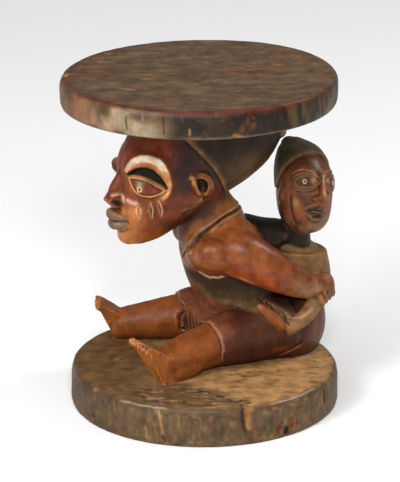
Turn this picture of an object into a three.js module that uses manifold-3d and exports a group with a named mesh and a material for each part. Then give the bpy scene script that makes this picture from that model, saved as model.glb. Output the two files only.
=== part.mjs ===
// A caryatid stool carved from one block of hardwood: a seated mother with straight legs carries a child
// on her back, and her head and swept-back hair hold up the round seat.
// Millimetres, +Z up. The origin is the centre of the base's underside. The mother faces -Y and her left is +X.
import * as THREE from "three";
import { mergeVertices } from "three/addons/utils/BufferGeometryUtils.js";
import Module from "manifold-3d";

const wasm = await Module();
wasm.setup();

// Driving dimensions.
const HEIGHT = 370; // floor to the rim of the seat
const SEAT_RADIUS = 149;
const SEAT_THICKNESS = 29;
const SEAT_X = -1.5; // the seat's centre lies a little off the base's
const SEAT_Y = -5;
const SEAT_TILT = 0.018; // rise of the seat's rim towards the mother's back, as a slope
const SEAT_FLAT = 62; // radius of the level middle of the seat
const SEAT_DISH = 1.2; // how far the middle lies below the rim
const BASE_RADIUS = 148;
const BASE_THICKNESS = 43;
const BASE_TILT = -0.01; // fall of the base's top towards the mother's back, as a slope
const BASE_FLAT = 30; // radius of the level middle of the base's top
const WOBBLE = 0.9; // how far the hand-cut rims stray from a circle

const FIGURE_X = -28; // the figure is carved this far to one side of the discs' centre
const FLOOR = BASE_THICKNESS - 3; // the figure's lowest wood runs this far down into the base
const HEEL_APART = 70; // a heel's distance from the figure's middle plane
const KNEE_APART = 52;
const FOOT_SPLAY = 12.5; // degrees that each foot turns out
const FOOT_WIDTH = 37;
const FOOT_TOP = 91; // height of the toes' tips
const HEEL_Y = -77;
const HEM_Y = 0; // the skirt ends here, at the knees
const SHOULDER_APART = 40;
const BREAST_APART = 26;
const BREAST_REACH = 32; // the left breast's half-length; the right one is carved flatter
const BREAST_FLATTER = 5;
const ARM_APART = 60; // the elbow's distance from the middle plane
const HEAD_TOP = HEIGHT - SEAT_THICKNESS + 6; // the hair runs this far up into the seat
const EYE_LENGTH = 38;
const EYE_HEIGHT = 16;
const CHILD_HEAD_HEIGHT = 102;
const CHILD_HEAD_WIDTH = 64;
const CHILD_TURN = 100; // degrees that the child's face turns from the mother's, towards her left
const CHILD_LEAN = 3; // degrees that the child's head leans towards the mother
const CHILD_ROLL = 8; // degrees that the features are rolled on the child's head

const X = new THREE.Vector3(1, 0, 0);
const Y = new THREE.Vector3(0, 1, 0);
const Z = new THREE.Vector3(0, 0, 1);
const degrees = THREE.MathUtils.degToRad;
const at = (x, y, z) => new THREE.Vector3(x, y, z);

// A closed three.js geometry as a solid, whichever way round its faces were.
function solid(geometry) {
  const bare = geometry.clone();
  bare.deleteAttribute("normal");
  bare.deleteAttribute("uv");
  const merged = mergeVertices(bare, 1e-4);
  const triVerts = new Uint32Array(merged.index.array);
  const vertProperties = merged.attributes.position.array;
  const made = new wasm.Manifold(new wasm.Mesh({ numProp: 3, vertProperties, triVerts }));
  if (made.volume() > 0) return made;
  for (let i = 0; i < triVerts.length; i += 3) {
    [triVerts[i + 1], triVerts[i + 2]] = [triVerts[i + 2], triVerts[i + 1]];
  }
  return new wasm.Manifold(new wasm.Mesh({ numProp: 3, vertProperties, triVerts }));
}

const join = (pieces) => pieces.reduce((a, b) => a.add(b));

// The one large body, without the crumbs that cuts leave or the pockets that joins close.
const largest = (made) => made.decompose().reduce((a, b) => (a.volume() > b.volume() ? a : b));

// A number read off a row of values at a share of its length, eased from one to the next.
function along(values, share) {
  const place = THREE.MathUtils.clamp(share, 0, 1) * (values.length - 1);
  const index = Math.min(Math.floor(place), values.length - 2);
  const part = place - index;
  const before = values[Math.max(index - 1, 0)];
  const after = values[Math.min(index + 2, values.length - 1)];
  const [from, to] = [values[index], values[index + 1]];
  const leave = (to - before) / 2;
  const arrive = (after - from) / 2;
  const cubic = 2 * from - 2 * to + leave + arrive;
  const square = -3 * from + 3 * to - 2 * leave - arrive;
  return ((cubic * part + square) * part + leave) * part + from;
}

// A round-ended form that follows a spine. wide and deep are its half-sizes across at the spine's points;
// wide runs along the side direction. A higher blunt squares off its ends, a higher square its section.
function limb({ spine, wide, deep, side = X, blunt = 3, square = 2, around = 16, rows = 12 }) {
  const geometry = new THREE.SphereGeometry(1, around, rows);
  const curve = new THREE.CatmullRomCurve3(spine, false, "centripetal");
  const position = geometry.attributes.position;
  const axis = at(0, 0, 0);
  for (let i = 0; i < position.count; i++) {
    const pole = -position.getY(i);
    const share = (1 + pole) / 2;
    const centre = curve.getPoint(share);
    axis.copy(curve.getTangent(share));
    const second = axis.clone().cross(side).normalize();
    const first = second.clone().cross(axis).normalize();
    const ring = Math.max(1 - Math.abs(pole) ** blunt, 0) ** (1 / blunt);
    const turn = Math.atan2(position.getZ(i), position.getX(i));
    const round = (value) => Math.sign(value) * Math.abs(value) ** (2 / square);
    centre.addScaledVector(first, ring * along(wide, share) * round(Math.cos(turn)));
    centre.addScaledVector(second, ring * along(deep, share) * round(Math.sin(turn)));
    if (Math.abs(pole) > 1 - 1e-6) centre.copy(curve.getPoint(share));
    position.setXYZ(i, centre.x, centre.y, centre.z);
  }
  return solid(geometry);
}

// An ellipsoid, turned about its own centre.
function ball(centre, radii, turn = new THREE.Euler(), around = 14, rows = 10) {
  const geometry = new THREE.SphereGeometry(1, around, rows);
  geometry.scale(...radii);
  geometry.applyMatrix4(new THREE.Matrix4().makeRotationFromEuler(turn));
  geometry.translate(centre.x, centre.y, centre.z);
  return solid(geometry);
}

// An ellipsoid by the directions of its length and of its outward depth.
function lens(centre, lengthways, outward, [length, height, depth], around = 12, rows = 8) {
  const first = lengthways.clone().normalize();
  const second = outward.clone().addScaledVector(first, -outward.dot(first)).normalize();
  const geometry = new THREE.SphereGeometry(1, around, rows);
  geometry.rotateZ(Math.PI / 2);
  geometry.scale(length / 2, depth, height / 2);
  geometry.applyMatrix4(new THREE.Matrix4().makeBasis(first, second, first.clone().cross(second)));
  geometry.translate(centre.x, centre.y, centre.z);
  return solid(geometry);
}

// A cord laid in a closed loop.
function loop(points, radius, around = 20) {
  const curve = new THREE.CatmullRomCurve3(points, true);
  const middle = points.reduce((a, b) => a.add(b), at(0, 0, 0)).divideScalar(points.length);
  const geometry = new THREE.TorusGeometry(1, 0.1, 4, around);
  const position = geometry.attributes.position;
  for (let i = 0; i < position.count; i++) {
    const [x, y, z] = [position.getX(i), position.getY(i), position.getZ(i)];
    const share = (Math.atan2(y, x) / (2 * Math.PI) + 1) % 1;
    const centre = curve.getPoint(share);
    const out = centre.clone().sub(middle).normalize();
    const up = curve.getTangent(share).cross(out).normalize();
    const proud = (Math.hypot(x, y) - 1) * 10 * radius;
    centre.addScaledVector(out, proud).addScaledVector(up, z * 10 * radius);
    position.setXYZ(i, centre.x, centre.y, centre.z);
  }
  return solid(geometry);
}

// A box, turned about its own centre.
function block(centre, size, turn = new THREE.Euler()) {
  const geometry = new THREE.BoxGeometry(...size);
  geometry.applyMatrix4(new THREE.Matrix4().makeRotationFromEuler(turn));
  geometry.translate(centre.x, centre.y, centre.z);
  return solid(geometry);
}

// A solid moved by a matrix.
const placed = (made, matrix) => made.transform(matrix.toArray());

// The same solid on the figure's other side.
const mirrored = (made) => made.mirror([1, 0, 0]);
const bothSides = (made) => made.add(mirrored(made));

// A hand-cut disc: a lathe-turned profile whose rim strays a little and whose faces lean with it.
function disc({ profile, centre = [0, 0], tilt, flat, sides = 42, phase = 0 }) {
  const geometry = new THREE.LatheGeometry(profile.map(([r, z]) => new THREE.Vector2(r, z)), sides);
  geometry.rotateX(Math.PI / 2);
  const position = geometry.attributes.position;
  for (let i = 0; i < position.count; i++) {
    const [x, y, z] = [position.getX(i), position.getY(i), position.getZ(i)];
    const radius = Math.hypot(x, y);
    const turn = Math.atan2(y, x);
    const share = THREE.MathUtils.smoothstep(radius, flat, flat + 60);
    const stray = WOBBLE * share * (Math.sin(2 * turn + phase) + 0.6 * Math.sin(3 * turn + 2 * phase));
    const grown = radius > 0 ? 1 + stray / radius : 1;
    const rise = z > 0 ? tilt * y * share : 0;
    position.setXYZ(i, x * grown + centre[0], y * grown + centre[1], z + rise);
  }
  return solid(geometry);
}

function seat() {
  const [low, high] = [HEIGHT - SEAT_THICKNESS, HEIGHT];
  const edge = 5;
  const profile = [
    [0, low],
    [SEAT_RADIUS - 7, low],
    [SEAT_RADIUS - 3, low + 2],
    [SEAT_RADIUS - 0.5, low + 9],
    [SEAT_RADIUS, high - 11],
    [SEAT_RADIUS - 3, high - 1.6],
    [SEAT_RADIUS - edge - 2, high],
    [SEAT_FLAT, high - SEAT_DISH],
    [0, high - SEAT_DISH],
  ];
  return disc({ profile, centre: [SEAT_X, SEAT_Y], tilt: SEAT_TILT, flat: SEAT_FLAT, phase: 0.8 });
}

function base() {
  const high = BASE_THICKNESS;
  const profile = [
    [0, 0],
    [BASE_RADIUS - 2, 0],
    [BASE_RADIUS, 5],
    [BASE_RADIUS - 0.5, high - 10],
    [BASE_RADIUS - 3, high - 2],
    [BASE_RADIUS - 6, high],
    [BASE_FLAT, high],
    [0, high],
  ];
  return disc({ profile, tilt: BASE_TILT, flat: BASE_FLAT, phase: 2.1 });
}

// Everything from here to the group is built about the figure's own middle plane, x = 0.

// The skirt over hips, thighs and lap, with an undercut where the thighs round down to the base.
function skirt() {
  const hips = limb({
    spine: [at(0, 90, FLOOR - 8), at(0, 91, 82), at(0, 86, 126)],
    wide: [58, 66, 40],
    deep: [55, 58, 40],
    blunt: 4,
    around: 16,
    rows: 8,
  });
  const thigh = limb({
    spine: [at(34, 96, 80), at(42, 45, 74), at(KNEE_APART, HEM_Y - 3, 71)],
    wide: [36, 32, 28],
    deep: [40, 32, 27],
    blunt: 8,
    around: 12,
    rows: 7,
  });
  const lap = limb({
    spine: [at(0, 90, 84), at(0, 45, 76), at(0, HEM_Y - 3, 70)],
    wide: [60, 52, 42],
    deep: [36, 30, 25],
    blunt: 9,
    square: 3,
    around: 12,
    rows: 6,
  });
  // The hem's cloth hangs between the knees in upright folds.
  const folds = [];
  for (let x = -24; x < 24; x += 12) {
    folds.push(block(at(x, HEM_Y - 6, 72), [3.4, 7, 80], new THREE.Euler(0, x / 300, 0.3)));
  }
  return join([hips, bothSides(thigh), lap]).subtract(join(folds));
}

function shin() {
  return limb({
    spine: [
      at(KNEE_APART - 4, HEM_Y + 14, 71),
      at(KNEE_APART + 3, -22, 66),
      at(HEEL_APART - 3, -58, 61),
      at(HEEL_APART, -74, 59),
    ],
    wide: [25, 23, 19, 17],
    deep: [25, 23, 19, 17],
    blunt: 6,
    around: 11,
    rows: 6,
  });
}

// A foot set on its heel: the bare sole leans forward, five toe tips step along its top edge.
function foot() {
  const half = FOOT_WIDTH / 2;
  const outline = new THREE.Shape();
  outline.moveTo(0, FLOOR - 2);
  outline.lineTo(-15, FOOT_TOP - 4);
  outline.quadraticCurveTo(-16, FOOT_TOP, -11, FOOT_TOP - 1);
  outline.quadraticCurveTo(6, FOOT_TOP - 12, 17, FOOT_TOP - 22);
  outline.lineTo(30, FLOOR - 2);
  outline.closePath();
  const slab = new THREE.ExtrudeGeometry(outline, { depth: FOOT_WIDTH, bevelEnabled: false, curveSegments: 3 });
  // The outline is drawn in y and z, and runs out along x.
  slab.translate(0, 0, -half);
  slab.applyMatrix4(new THREE.Matrix4().makeBasis(Y, Z, X));
  const toes = [];
  for (let i = 0; i < 5; i++) {
    const x = -half + 4.2 + i * 7.2;
    const size = i === 0 ? 1.15 : 1 - 0.05 * i;
    const tip = at(x, -13.5 + 0.4 * i, FOOT_TOP - 3.5 - 0.9 * i);
    toes.push(ball(tip, [3.9 * size, 5, 6.4 * size], new THREE.Euler(0.32, 0, 0), 6, 4));
  }
  const matrix = new THREE.Matrix4().makeRotationZ(degrees(FOOT_SPLAY)).setPosition(HEEL_APART, HEEL_Y, 0);
  return placed(join([solid(slab), ...toes]), matrix);
}

// The trunk leans forward from the hips to the neck, with the breasts carved in one with the shoulders.
function trunk() {
  const body = limb({
    spine: [at(0, 56, 84), at(0, 50, 120), at(0, 36, 150), at(0, 24, 180), at(0, 20, 200)],
    wide: [44, 43, 45, 42, 28],
    deep: [56, 51, 48, 42, 24],
    blunt: 5,
    square: 2.2,
    around: 14,
    rows: 8,
  });
  const breast = (flatter) => {
    const centre = at(BREAST_APART, 11 + 1.6 * flatter, 169);
    return ball(centre, [24, BREAST_REACH - flatter, 25], new THREE.Euler(-0.15, 0.2, 0), 10, 8);
  };
  return join([body, breast(0), mirrored(breast(BREAST_FLATTER))]);
}

// An arm reaches straight back past the hip to clasp the child, its hand flat on the child's seat.
function arm() {
  const reach = limb({
    spine: [
      at(SHOULDER_APART, 12, 180),
      at(ARM_APART - 7, 45, 163),
      at(ARM_APART, 72, 147),
      at(ARM_APART - 4, 100, 130),
      at(ARM_APART - 14, 124, 120),
      at(ARM_APART - 20, 138, 117),
    ],
    wide: [23, 22, 18, 14, 11, 8],
    deep: [29, 29, 23, 18, 15.5, 14],
    blunt: 5,
    around: 10,
    rows: 8,
  });
  const palm = ball(at(ARM_APART - 20, 139, 117), [11, 11, 16], new THREE.Euler(0, 0, 0.5), 7, 5);
  const fingers = [];
  for (let i = 0; i < 4; i++) {
    const high = 125 - 7 * i;
    fingers.push(
      limb({
        spine: [at(ARM_APART - 16, 142, high + 2), at(ARM_APART - 24, 147, high - 3), at(ARM_APART - 34, 149, high - 9)],
        wide: [3.8, 3.8, 3.2],
        deep: [3.8, 3.8, 3.2],
        side: Z,
        around: 5,
        rows: 4,
      }),
    );
  }
  return join([reach, palm, ...fingers]);
}

// A stout neck, with a cord laid round its foot: low in front and behind, high on the shoulders.
function neck() {
  const column = limb({
    spine: [at(0, 22, 174), at(0, 17, 192), at(0, 8, 212), at(0, -6, 242)],
    wide: [32, 32, 26, 30],
    deep: [38, 39, 34, 36],
    blunt: 8,
    around: 12,
    rows: 5,
  });
  const side = [at(22, -6, 182), at(31, 12, 196), at(22, 34, 206)];
  const otherSide = side.map((point) => at(-point.x, point.y, point.z)).reverse();
  return column.add(loop([at(0, -16, 170), ...side, at(0, 51, 211), ...otherSide], 2.4));
}

// The head and its hair are one long egg, laid on level sections from the chin up into the seat.
// Each row: height, front, back, half-width.
const HEAD_ROWS = [
  [179, -77, -60, 8],
  [185, -86, -42, 18],
  [196, -89, -22, 26],
  [210, -89, 0, 32],
  [226, -89, 24, 36],
  [242, -88, 55, 39],
  [256, -87, 74, 41],
  [270, -85, 85, 42],
  [286, -80, 96, 43],
  [304, -71, 104, 43],
  [322, -60, 111, 43],
  [HEAD_TOP, -50, 115, 42],
];

function skull(grow = 0) {
  const column = (n) => HEAD_ROWS.map((row) => row[n]);
  const [heights, fronts, backs, widths] = [0, 1, 2, 3].map(column);
  const geometry = new THREE.SphereGeometry(1, 18, 14);
  const position = geometry.attributes.position;
  for (let i = 0; i < position.count; i++) {
    const pole = -position.getY(i);
    const share = (1 + pole) / 2;
    const [front, back] = [along(fronts, share), along(backs, share)];
    const ring = Math.max(1 - Math.abs(pole) ** 9, 0) ** (1 / 9);
    const turn = Math.atan2(position.getZ(i), position.getX(i));
    const [across, lengthways] = [Math.cos(turn), Math.sin(turn)];
    // The face is broad and flat in front, and the back of the head narrows towards its tip.
    const taper = 1 - 0.16 * Math.max(lengthways, 0) ** 2;
    const power = lengthways < 0 ? 0.76 : 0.86;
    const bulk = (value) => Math.sign(value) * Math.abs(value) ** power;
    const x = ring * (along(widths, share) + grow) * taper * bulk(across);
    const y = (front + back) / 2 + ring * ((back - front) / 2 + grow) * bulk(lengthways);
    position.setXYZ(i, x, y, along(heights, share));
  }
  return solid(geometry);
}

// The hair is a smooth bonnet, a step proud of the skin behind a line that slopes from forehead to nape.
function head() {
  const slope = Math.atan2(44, 60);
  const size = 400;
  const matrix = new THREE.Matrix4().makeRotationX(slope);
  matrix.setPosition(at(0, -25, 301).add(at(0, size / 2, 0).applyAxisAngle(X, slope)));
  const behind = placed(block(at(0, 0, 0), [size, size, size]), matrix);
  return skull().add(skull(2.2).intersect(behind));
}

// The features of the face, on the figure's left: an arched brow over a deep socket, and a rimmed almond eye.
function face() {
  const inner = at(21, -86, 260);
  const outer = at(41, -50, 247);
  const lengthways = outer.clone().sub(inner);
  const outward = at(0.78, -0.62, 0.05);
  const centre = inner.clone().add(outer).multiplyScalar(0.5);
  const socket = lens(
    centre.clone().addScaledVector(outward, 4).add(at(0, -1, 7)),
    lengthways,
    outward,
    [EYE_LENGTH + 4, 21, 8],
    10,
    6,
  );
  const eyeball = lens(centre.clone().addScaledVector(outward, -3), lengthways, outward, [EYE_LENGTH, EYE_HEIGHT, 7], 10, 7);
  const brow = limb({
    spine: [at(13, -81, 264), at(23, -75, 275), at(34, -61, 280), at(41, -45, 272), at(42, -37, 256)],
    wide: [3, 4, 4.4, 4, 2.5],
    deep: [3, 4, 4.4, 4, 2.5],
    around: 6,
    rows: 8,
  });
  const ear = limb({
    spine: [at(39, -14, 259), at(42, -5, 263), at(44, 4, 258), at(44, 6, 247), at(41, -2, 236)],
    wide: [2.6, 4, 5, 5, 3],
    deep: [3, 4, 4.6, 4.6, 3],
    around: 6,
    rows: 7,
  });
  const earFront = limb({
    spine: [at(39, -17, 261), at(41, -14, 247), at(39, -8, 237)],
    wide: [3, 3.4, 2.6],
    deep: [3, 3.4, 2.6],
    around: 6,
    rows: 5,
  });
  const jaw = limb({
    spine: [at(38, -6, 237), at(34, -16, 229), at(30, -27, 222)],
    wide: [3.5, 4, 3],
    deep: [3.5, 4, 3],
    around: 6,
    rows: 5,
  });
  const wing = ball(at(9.5, -93, 231), [7, 9.5, 6.5], new THREE.Euler(0.25, 0, 0.15), 7, 5);
  const nose = limb({
    spine: [at(0, -80, 272), at(0, -84, 258), at(0, -91, 243), at(0, -97, 232)],
    wide: [6, 6, 8, 7.5],
    deep: [4, 6, 7.5, 7],
    around: 8,
    rows: 7,
  });
  const upperLip = limb({
    spine: [at(-21, -80, 210), at(-10, -93, 214), at(0, -96.5, 214.5), at(10, -93, 214), at(21, -80, 210)],
    wide: [3, 5.2, 5.6, 5.2, 3],
    deep: [2, 4.6, 5.6, 4.6, 2],
    side: Z,
    around: 7,
    rows: 8,
  });
  const lowerLip = limb({
    spine: [at(-19, -80, 208), at(-9, -92, 204), at(0, -94.5, 203.5), at(9, -92, 204), at(19, -80, 208)],
    wide: [3, 5, 5.8, 5, 3],
    deep: [2, 4.6, 5.4, 4.6, 2],
    side: Z,
    around: 7,
    rows: 8,
  });
  const chin = ball(at(0, -78, 189), [15, 11, 10], new THREE.Euler(), 8, 6);
  return {
    socket: bothSides(socket),
    skin: join([nose, upperLip, lowerLip, chin, ...[eyeball, brow, ear, earFront, jaw, wing].map(bothSides)]),
  };
}

// The child's trunk, wrapped to the mother's back, with a neck that rises out of the wrap.
function childTrunk() {
  const wrap = limb({
    spine: [at(0, 102, 96), at(0, 106, 125), at(0, 108, 150), at(0, 108, 162)],
    wide: [46, 43, 38, 36],
    deep: [50, 53, 46, 42],
    blunt: 12,
    around: 16,
    rows: 6,
  });
  const above = new THREE.Matrix4().makeRotationX(-0.16).setPosition(0, 108, 156);
  const collar = ball(at(2, 112, 155), [27, 31, 12], new THREE.Euler(-0.16, 0, 0), 12, 6);
  const childNeck = limb({
    spine: [at(6, 113, 150), at(9, 114, 176), at(13, 117, 198)],
    wide: [21, 17.5, 18],
    deep: [21, 17.5, 18],
    blunt: 8,
    around: 12,
    rows: 5,
  });
  return join([wrap.subtract(placed(block(at(0, 0, 50), [200, 200, 100]), above)), collar, childNeck]);
}

// The child's head, for a head one unit high and one wide. Each row: height, front, back, half-width.
const CHILD_ROWS = [
  [-0.5, 0.24, 0.0, 0.12],
  [-0.42, 0.42, -0.16, 0.28],
  [-0.3, 0.5, -0.32, 0.39],
  [-0.15, 0.52, -0.42, 0.46],
  [0.0, 0.52, -0.48, 0.49],
  [0.15, 0.46, -0.53, 0.49],
  [0.28, 0.33, -0.56, 0.44],
  [0.4, 0.1, -0.56, 0.33],
  [0.48, -0.26, -0.46, 0.09],
];

// Built looking along -Y about its own centre, then turned and leant into place.
function childHead() {
  const column = (n) => CHILD_ROWS.map((row) => row[n]);
  const [heights, fronts, backs, widths] = [0, 1, 2, 3].map(column);
  const geometry = new THREE.SphereGeometry(1, 13, 9);
  const position = geometry.attributes.position;
  for (let i = 0; i < position.count; i++) {
    const pole = -position.getY(i);
    const share = (1 + pole) / 2;
    const front = -along(fronts, share) * CHILD_HEAD_WIDTH;
    const back = -along(backs, share) * CHILD_HEAD_WIDTH;
    const ring = Math.max(1 - Math.abs(pole) ** 6, 0) ** (1 / 6);
    const turn = Math.atan2(position.getZ(i), position.getX(i));
    const x = ring * along(widths, share) * CHILD_HEAD_WIDTH * Math.cos(turn);
    const y = (front + back) / 2 + (ring * (back - front) * Math.sin(turn)) / 2;
    position.setXYZ(i, x, y, along(heights, share) * CHILD_HEAD_HEIGHT);
  }
  const skin = solid(geometry);
  const [lengthways, outward] = [at(0.81, 0.58, -0.1), at(0.58, -0.81, 0.1)];
  const lid = lens(at(16.5, -24.5, 13), lengthways, outward, [25, 16, 5.5], 8, 5);
  const nose = limb({
    spine: [at(0, -30, 25), at(0, -32, 13), at(0, -36, 0), at(0, -35, -5)],
    wide: [2.5, 3, 4.5, 4],
    deep: [2, 3, 5, 3.5],
    around: 6,
    rows: 6,
  });
  const wing = ball(at(5, -33, -3), [4, 4, 3.6], new THREE.Euler(), 6, 4);
  const upperLip = limb({
    spine: [at(-13, -29, -19), at(0, -37, -17), at(13, -29, -19)],
    wide: [2, 3.6, 2],
    deep: [2, 3.6, 2],
    side: Z,
    around: 6,
    rows: 6,
  });
  const lowerLip = limb({
    spine: [at(-12, -28, -23), at(0, -35, -27), at(12, -28, -23)],
    wide: [2, 3.8, 2],
    deep: [2, 3.6, 2],
    side: Z,
    around: 6,
    rows: 6,
  });
  const ear = limb({
    spine: [at(29.5, -5, 4), at(31, -3, -7), at(27.5, -6, -19)],
    wide: [2.4, 3.2, 2.4],
    deep: [3.4, 5, 3.4],
    around: 6,
    rows: 6,
  });
  // The cap of hair lies behind a steep line over the brow and above a nearly level one at the nape.
  const behind = block(at(0, 111.5, 0), [200, 200, 200], new THREE.Euler(0.32, 0, 0));
  const above = block(at(0, 0, 102), [200, 200, 200], new THREE.Euler(-0.15, 0, 0));
  const cap = skin.scale([1.05, 1.05, 1.03]).intersect(behind).intersect(above);
  const tip = ball(at(0, 24, 45), [8, 9, 8], new THREE.Euler(), 8, 5);
  const features = join([nose, upperLip, lowerLip, bothSides(lid), bothSides(wing)]);
  const rolled = placed(features, new THREE.Matrix4().makeRotationY(degrees(CHILD_ROLL)));
  const whole = join([skin, cap, tip, rolled, bothSides(ear)]);
  const lean = new THREE.Matrix4().makeRotationAxis(at(0.94, -0.34, 0).normalize(), degrees(CHILD_LEAN));
  const matrix = lean.multiply(new THREE.Matrix4().makeRotationZ(degrees(CHILD_TURN)));
  matrix.setPosition(14, 122, 226);
  return placed(whole, matrix);
}

// The child's leg comes round the mother's hip, bends down to the heel and turns up to the toes.
function childLeg() {
  const thigh = limb({
    spine: [at(46, 134, 110), at(66, 118, 104), at(70, 92, 87), at(69, 78, 81)],
    wide: [12, 11, 9, 7],
    deep: [12, 10, 8, 6],
    side: Z,
    around: 7,
    rows: 7,
  });
  const sole = limb({
    spine: [at(69, 80, 83), at(66, 66, 98), at(60, 50, 112)],
    wide: [7, 7, 5],
    deep: [7, 7, 5.5],
    around: 7,
    rows: 5,
  });
  return thigh.add(sole);
}

function figure() {
  const { socket, skin } = face();
  return join([
    skirt(),
    ...[shin(), foot(), arm(), childLeg()].map(bothSides),
    trunk(),
    neck(),
    head().subtract(socket),
    skin,
    childTrunk(),
    childHead(),
  ]);
}

function geometryOf(made) {
  const { vertProperties, triVerts } = made.getMesh();
  const geometry = new THREE.BufferGeometry();
  geometry.setAttribute("position", new THREE.BufferAttribute(vertProperties, 3));
  geometry.setIndex(new THREE.BufferAttribute(triVerts, 1));
  return geometry;
}

const stool = new THREE.Group();
const wood = new THREE.MeshStandardMaterial({ color: 0x5c2f1b, roughness: 0.42, metalness: 0 });
const carving = figure().translate([FIGURE_X, 0, 0]);
const mesh = new THREE.Mesh(geometryOf(largest(join([base(), carving, seat()]))), wood);
mesh.name = "caryatid_stool";
stool.add(mesh);

export default stool;
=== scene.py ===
"""A caryatid stool carved from one block of hardwood, dressed for its portrait.

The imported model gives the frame. The carving is made anew as one closed skin that keeps the solid's form:
round clay forms are heaped together, fused, smoothed where one grows out of the next, and then carved with
lids, hems, nails, cracks and tool marks. Every size is in millimetres about the figure's own middle plane,
and becomes metres about the stool's axis when the skin is finished.
"""

import logging
import math
from collections.abc import Callable, Sequence
from dataclasses import dataclass, field
from enum import IntEnum

import bmesh
import bpy
import numpy as np
from mathutils import Euler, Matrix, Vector
from mathutils.bvhtree import BVHTree


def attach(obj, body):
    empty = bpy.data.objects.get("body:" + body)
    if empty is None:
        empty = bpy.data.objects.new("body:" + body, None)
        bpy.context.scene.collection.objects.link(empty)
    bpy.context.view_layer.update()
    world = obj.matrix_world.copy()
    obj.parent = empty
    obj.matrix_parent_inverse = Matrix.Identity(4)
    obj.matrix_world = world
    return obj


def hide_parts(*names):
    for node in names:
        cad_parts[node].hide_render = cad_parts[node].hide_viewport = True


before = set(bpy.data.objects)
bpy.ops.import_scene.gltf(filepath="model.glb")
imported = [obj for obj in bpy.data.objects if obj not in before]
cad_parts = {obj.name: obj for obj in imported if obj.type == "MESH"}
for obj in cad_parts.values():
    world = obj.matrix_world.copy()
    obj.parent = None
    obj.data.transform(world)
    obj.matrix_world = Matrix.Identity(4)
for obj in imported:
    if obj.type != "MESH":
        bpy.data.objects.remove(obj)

Array = np.ndarray
Point = Sequence[float]

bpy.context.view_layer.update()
log = logging.getLogger("stool")

MM = 0.001
FIGURE_X = -28.0  # the figure is carved this far to one side of the discs' centre
VOXEL = 1.15  # grain of the fused skin
TRIANGLES = 196_000
THIN_BIAS = 0.004  # how much more willingly the plain wood is thinned than the faces

HEIGHT = 370.0  # floor to the rim of the seat
SEAT_RADIUS = 149.0
SEAT_THICKNESS = 30.5
BASE_RADIUS = 148.0
BASE_THICKNESS = 43.0
FLOOR = BASE_THICKNESS - 3.0  # the figure's lowest wood runs this far down into the base


class Part(IntEnum):
    """The forms of the carving that differ in finish."""

    SEAT = 0
    BASE = 1
    FACE = 2
    HAIR = 3
    LIP = 4
    EAR = 5
    NECK = 6
    CLOTH = 7
    TRUNK = 8
    ARM = 9
    HAND = 10
    SKIRT = 11
    SHIN = 12
    FOOT = 13
    WRAP = 14
    CHILD_NECK = 15
    CHILD_FACE = 16
    CHILD_HAIR = 17
    CHILD_LIP = 18
    CHILD_LEG = 19
    CHILD_SOLE = 20
    BREAST = 21


# Small tools for numbers.


def smoothstep(low: float, high: float, value: Array) -> Array:
    """Eases from 0 at low to 1 at high."""
    share = np.clip((value - low) / (high - low), 0.0, 1.0)
    return share * share * (3.0 - 2.0 * share)


def bell(distance: Array, width: float) -> Array:
    """Falls from 1 at no distance to nearly 0 at twice the width."""
    return np.exp(-((distance / width) ** 2))


def unit(vectors: Array) -> Array:
    """Gives the vectors a length of 1."""
    return vectors / np.maximum(np.linalg.norm(vectors, axis=-1, keepdims=True), 1e-12)


def along(values: Point, share: Array) -> Array:
    """Reads numbers off a row of values, eased from one to the next.

    Args:
        values: The row.
        share: How far along the row each reading is, from 0 to 1.

    Returns:
        One number for each share.
    """
    row = np.asarray(values, float)
    place = np.clip(share, 0.0, 1.0) * (len(row) - 1)
    index = np.minimum(np.floor(place).astype(int), len(row) - 2)
    part = place - index
    before, start = row[np.maximum(index - 1, 0)], row[index]
    end, after = row[index + 1], row[np.minimum(index + 2, len(row) - 1)]
    leave, arrive = (end - before) / 2, (after - start) / 2
    cubic = 2 * start - 2 * end + leave + arrive
    square = -3 * start + 3 * end - 2 * leave - arrive
    return ((cubic * part + square) * part + leave) * part + start


def turning(x: float, y: float, z: float) -> Array:
    """A rotation by z, then y, then x radians about the fixed axes, as a 3 by 3 matrix."""
    return np.array(Euler((x, y, z), "ZYX").to_matrix())


def noise(points: Array, scale: Point | float, seed: int) -> Array:
    """Smooth seeded noise between -1 and 1.

    Args:
        points: Places in millimetres.
        scale: The size of one swell, or one size for each axis.
        seed: Picks the pattern.

    Returns:
        One value for each place.
    """
    grid = points / np.asarray(scale, float)
    cell = np.floor(grid).astype(np.int64)
    part = grid - cell
    part = part * part * (3.0 - 2.0 * part)
    total = np.zeros(len(points))
    for corner in range(8):
        step = np.array([corner & 1, corner >> 1 & 1, corner >> 2 & 1])
        mixed = (cell + step) @ np.array([73856093, 19349663, 83492791]) + seed * 2654435
        mixed = (mixed ^ (mixed >> 13)) & 0x7FFFFFFF
        mixed = (mixed * 1274126177) & 0x7FFFFFFF
        mixed = (mixed ^ (mixed >> 15)) & 0xFFFF
        weight = np.prod(np.where(step, part, 1.0 - part), axis=1)
        total += weight * (mixed / 32767.5 - 1.0)
    return total


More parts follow.
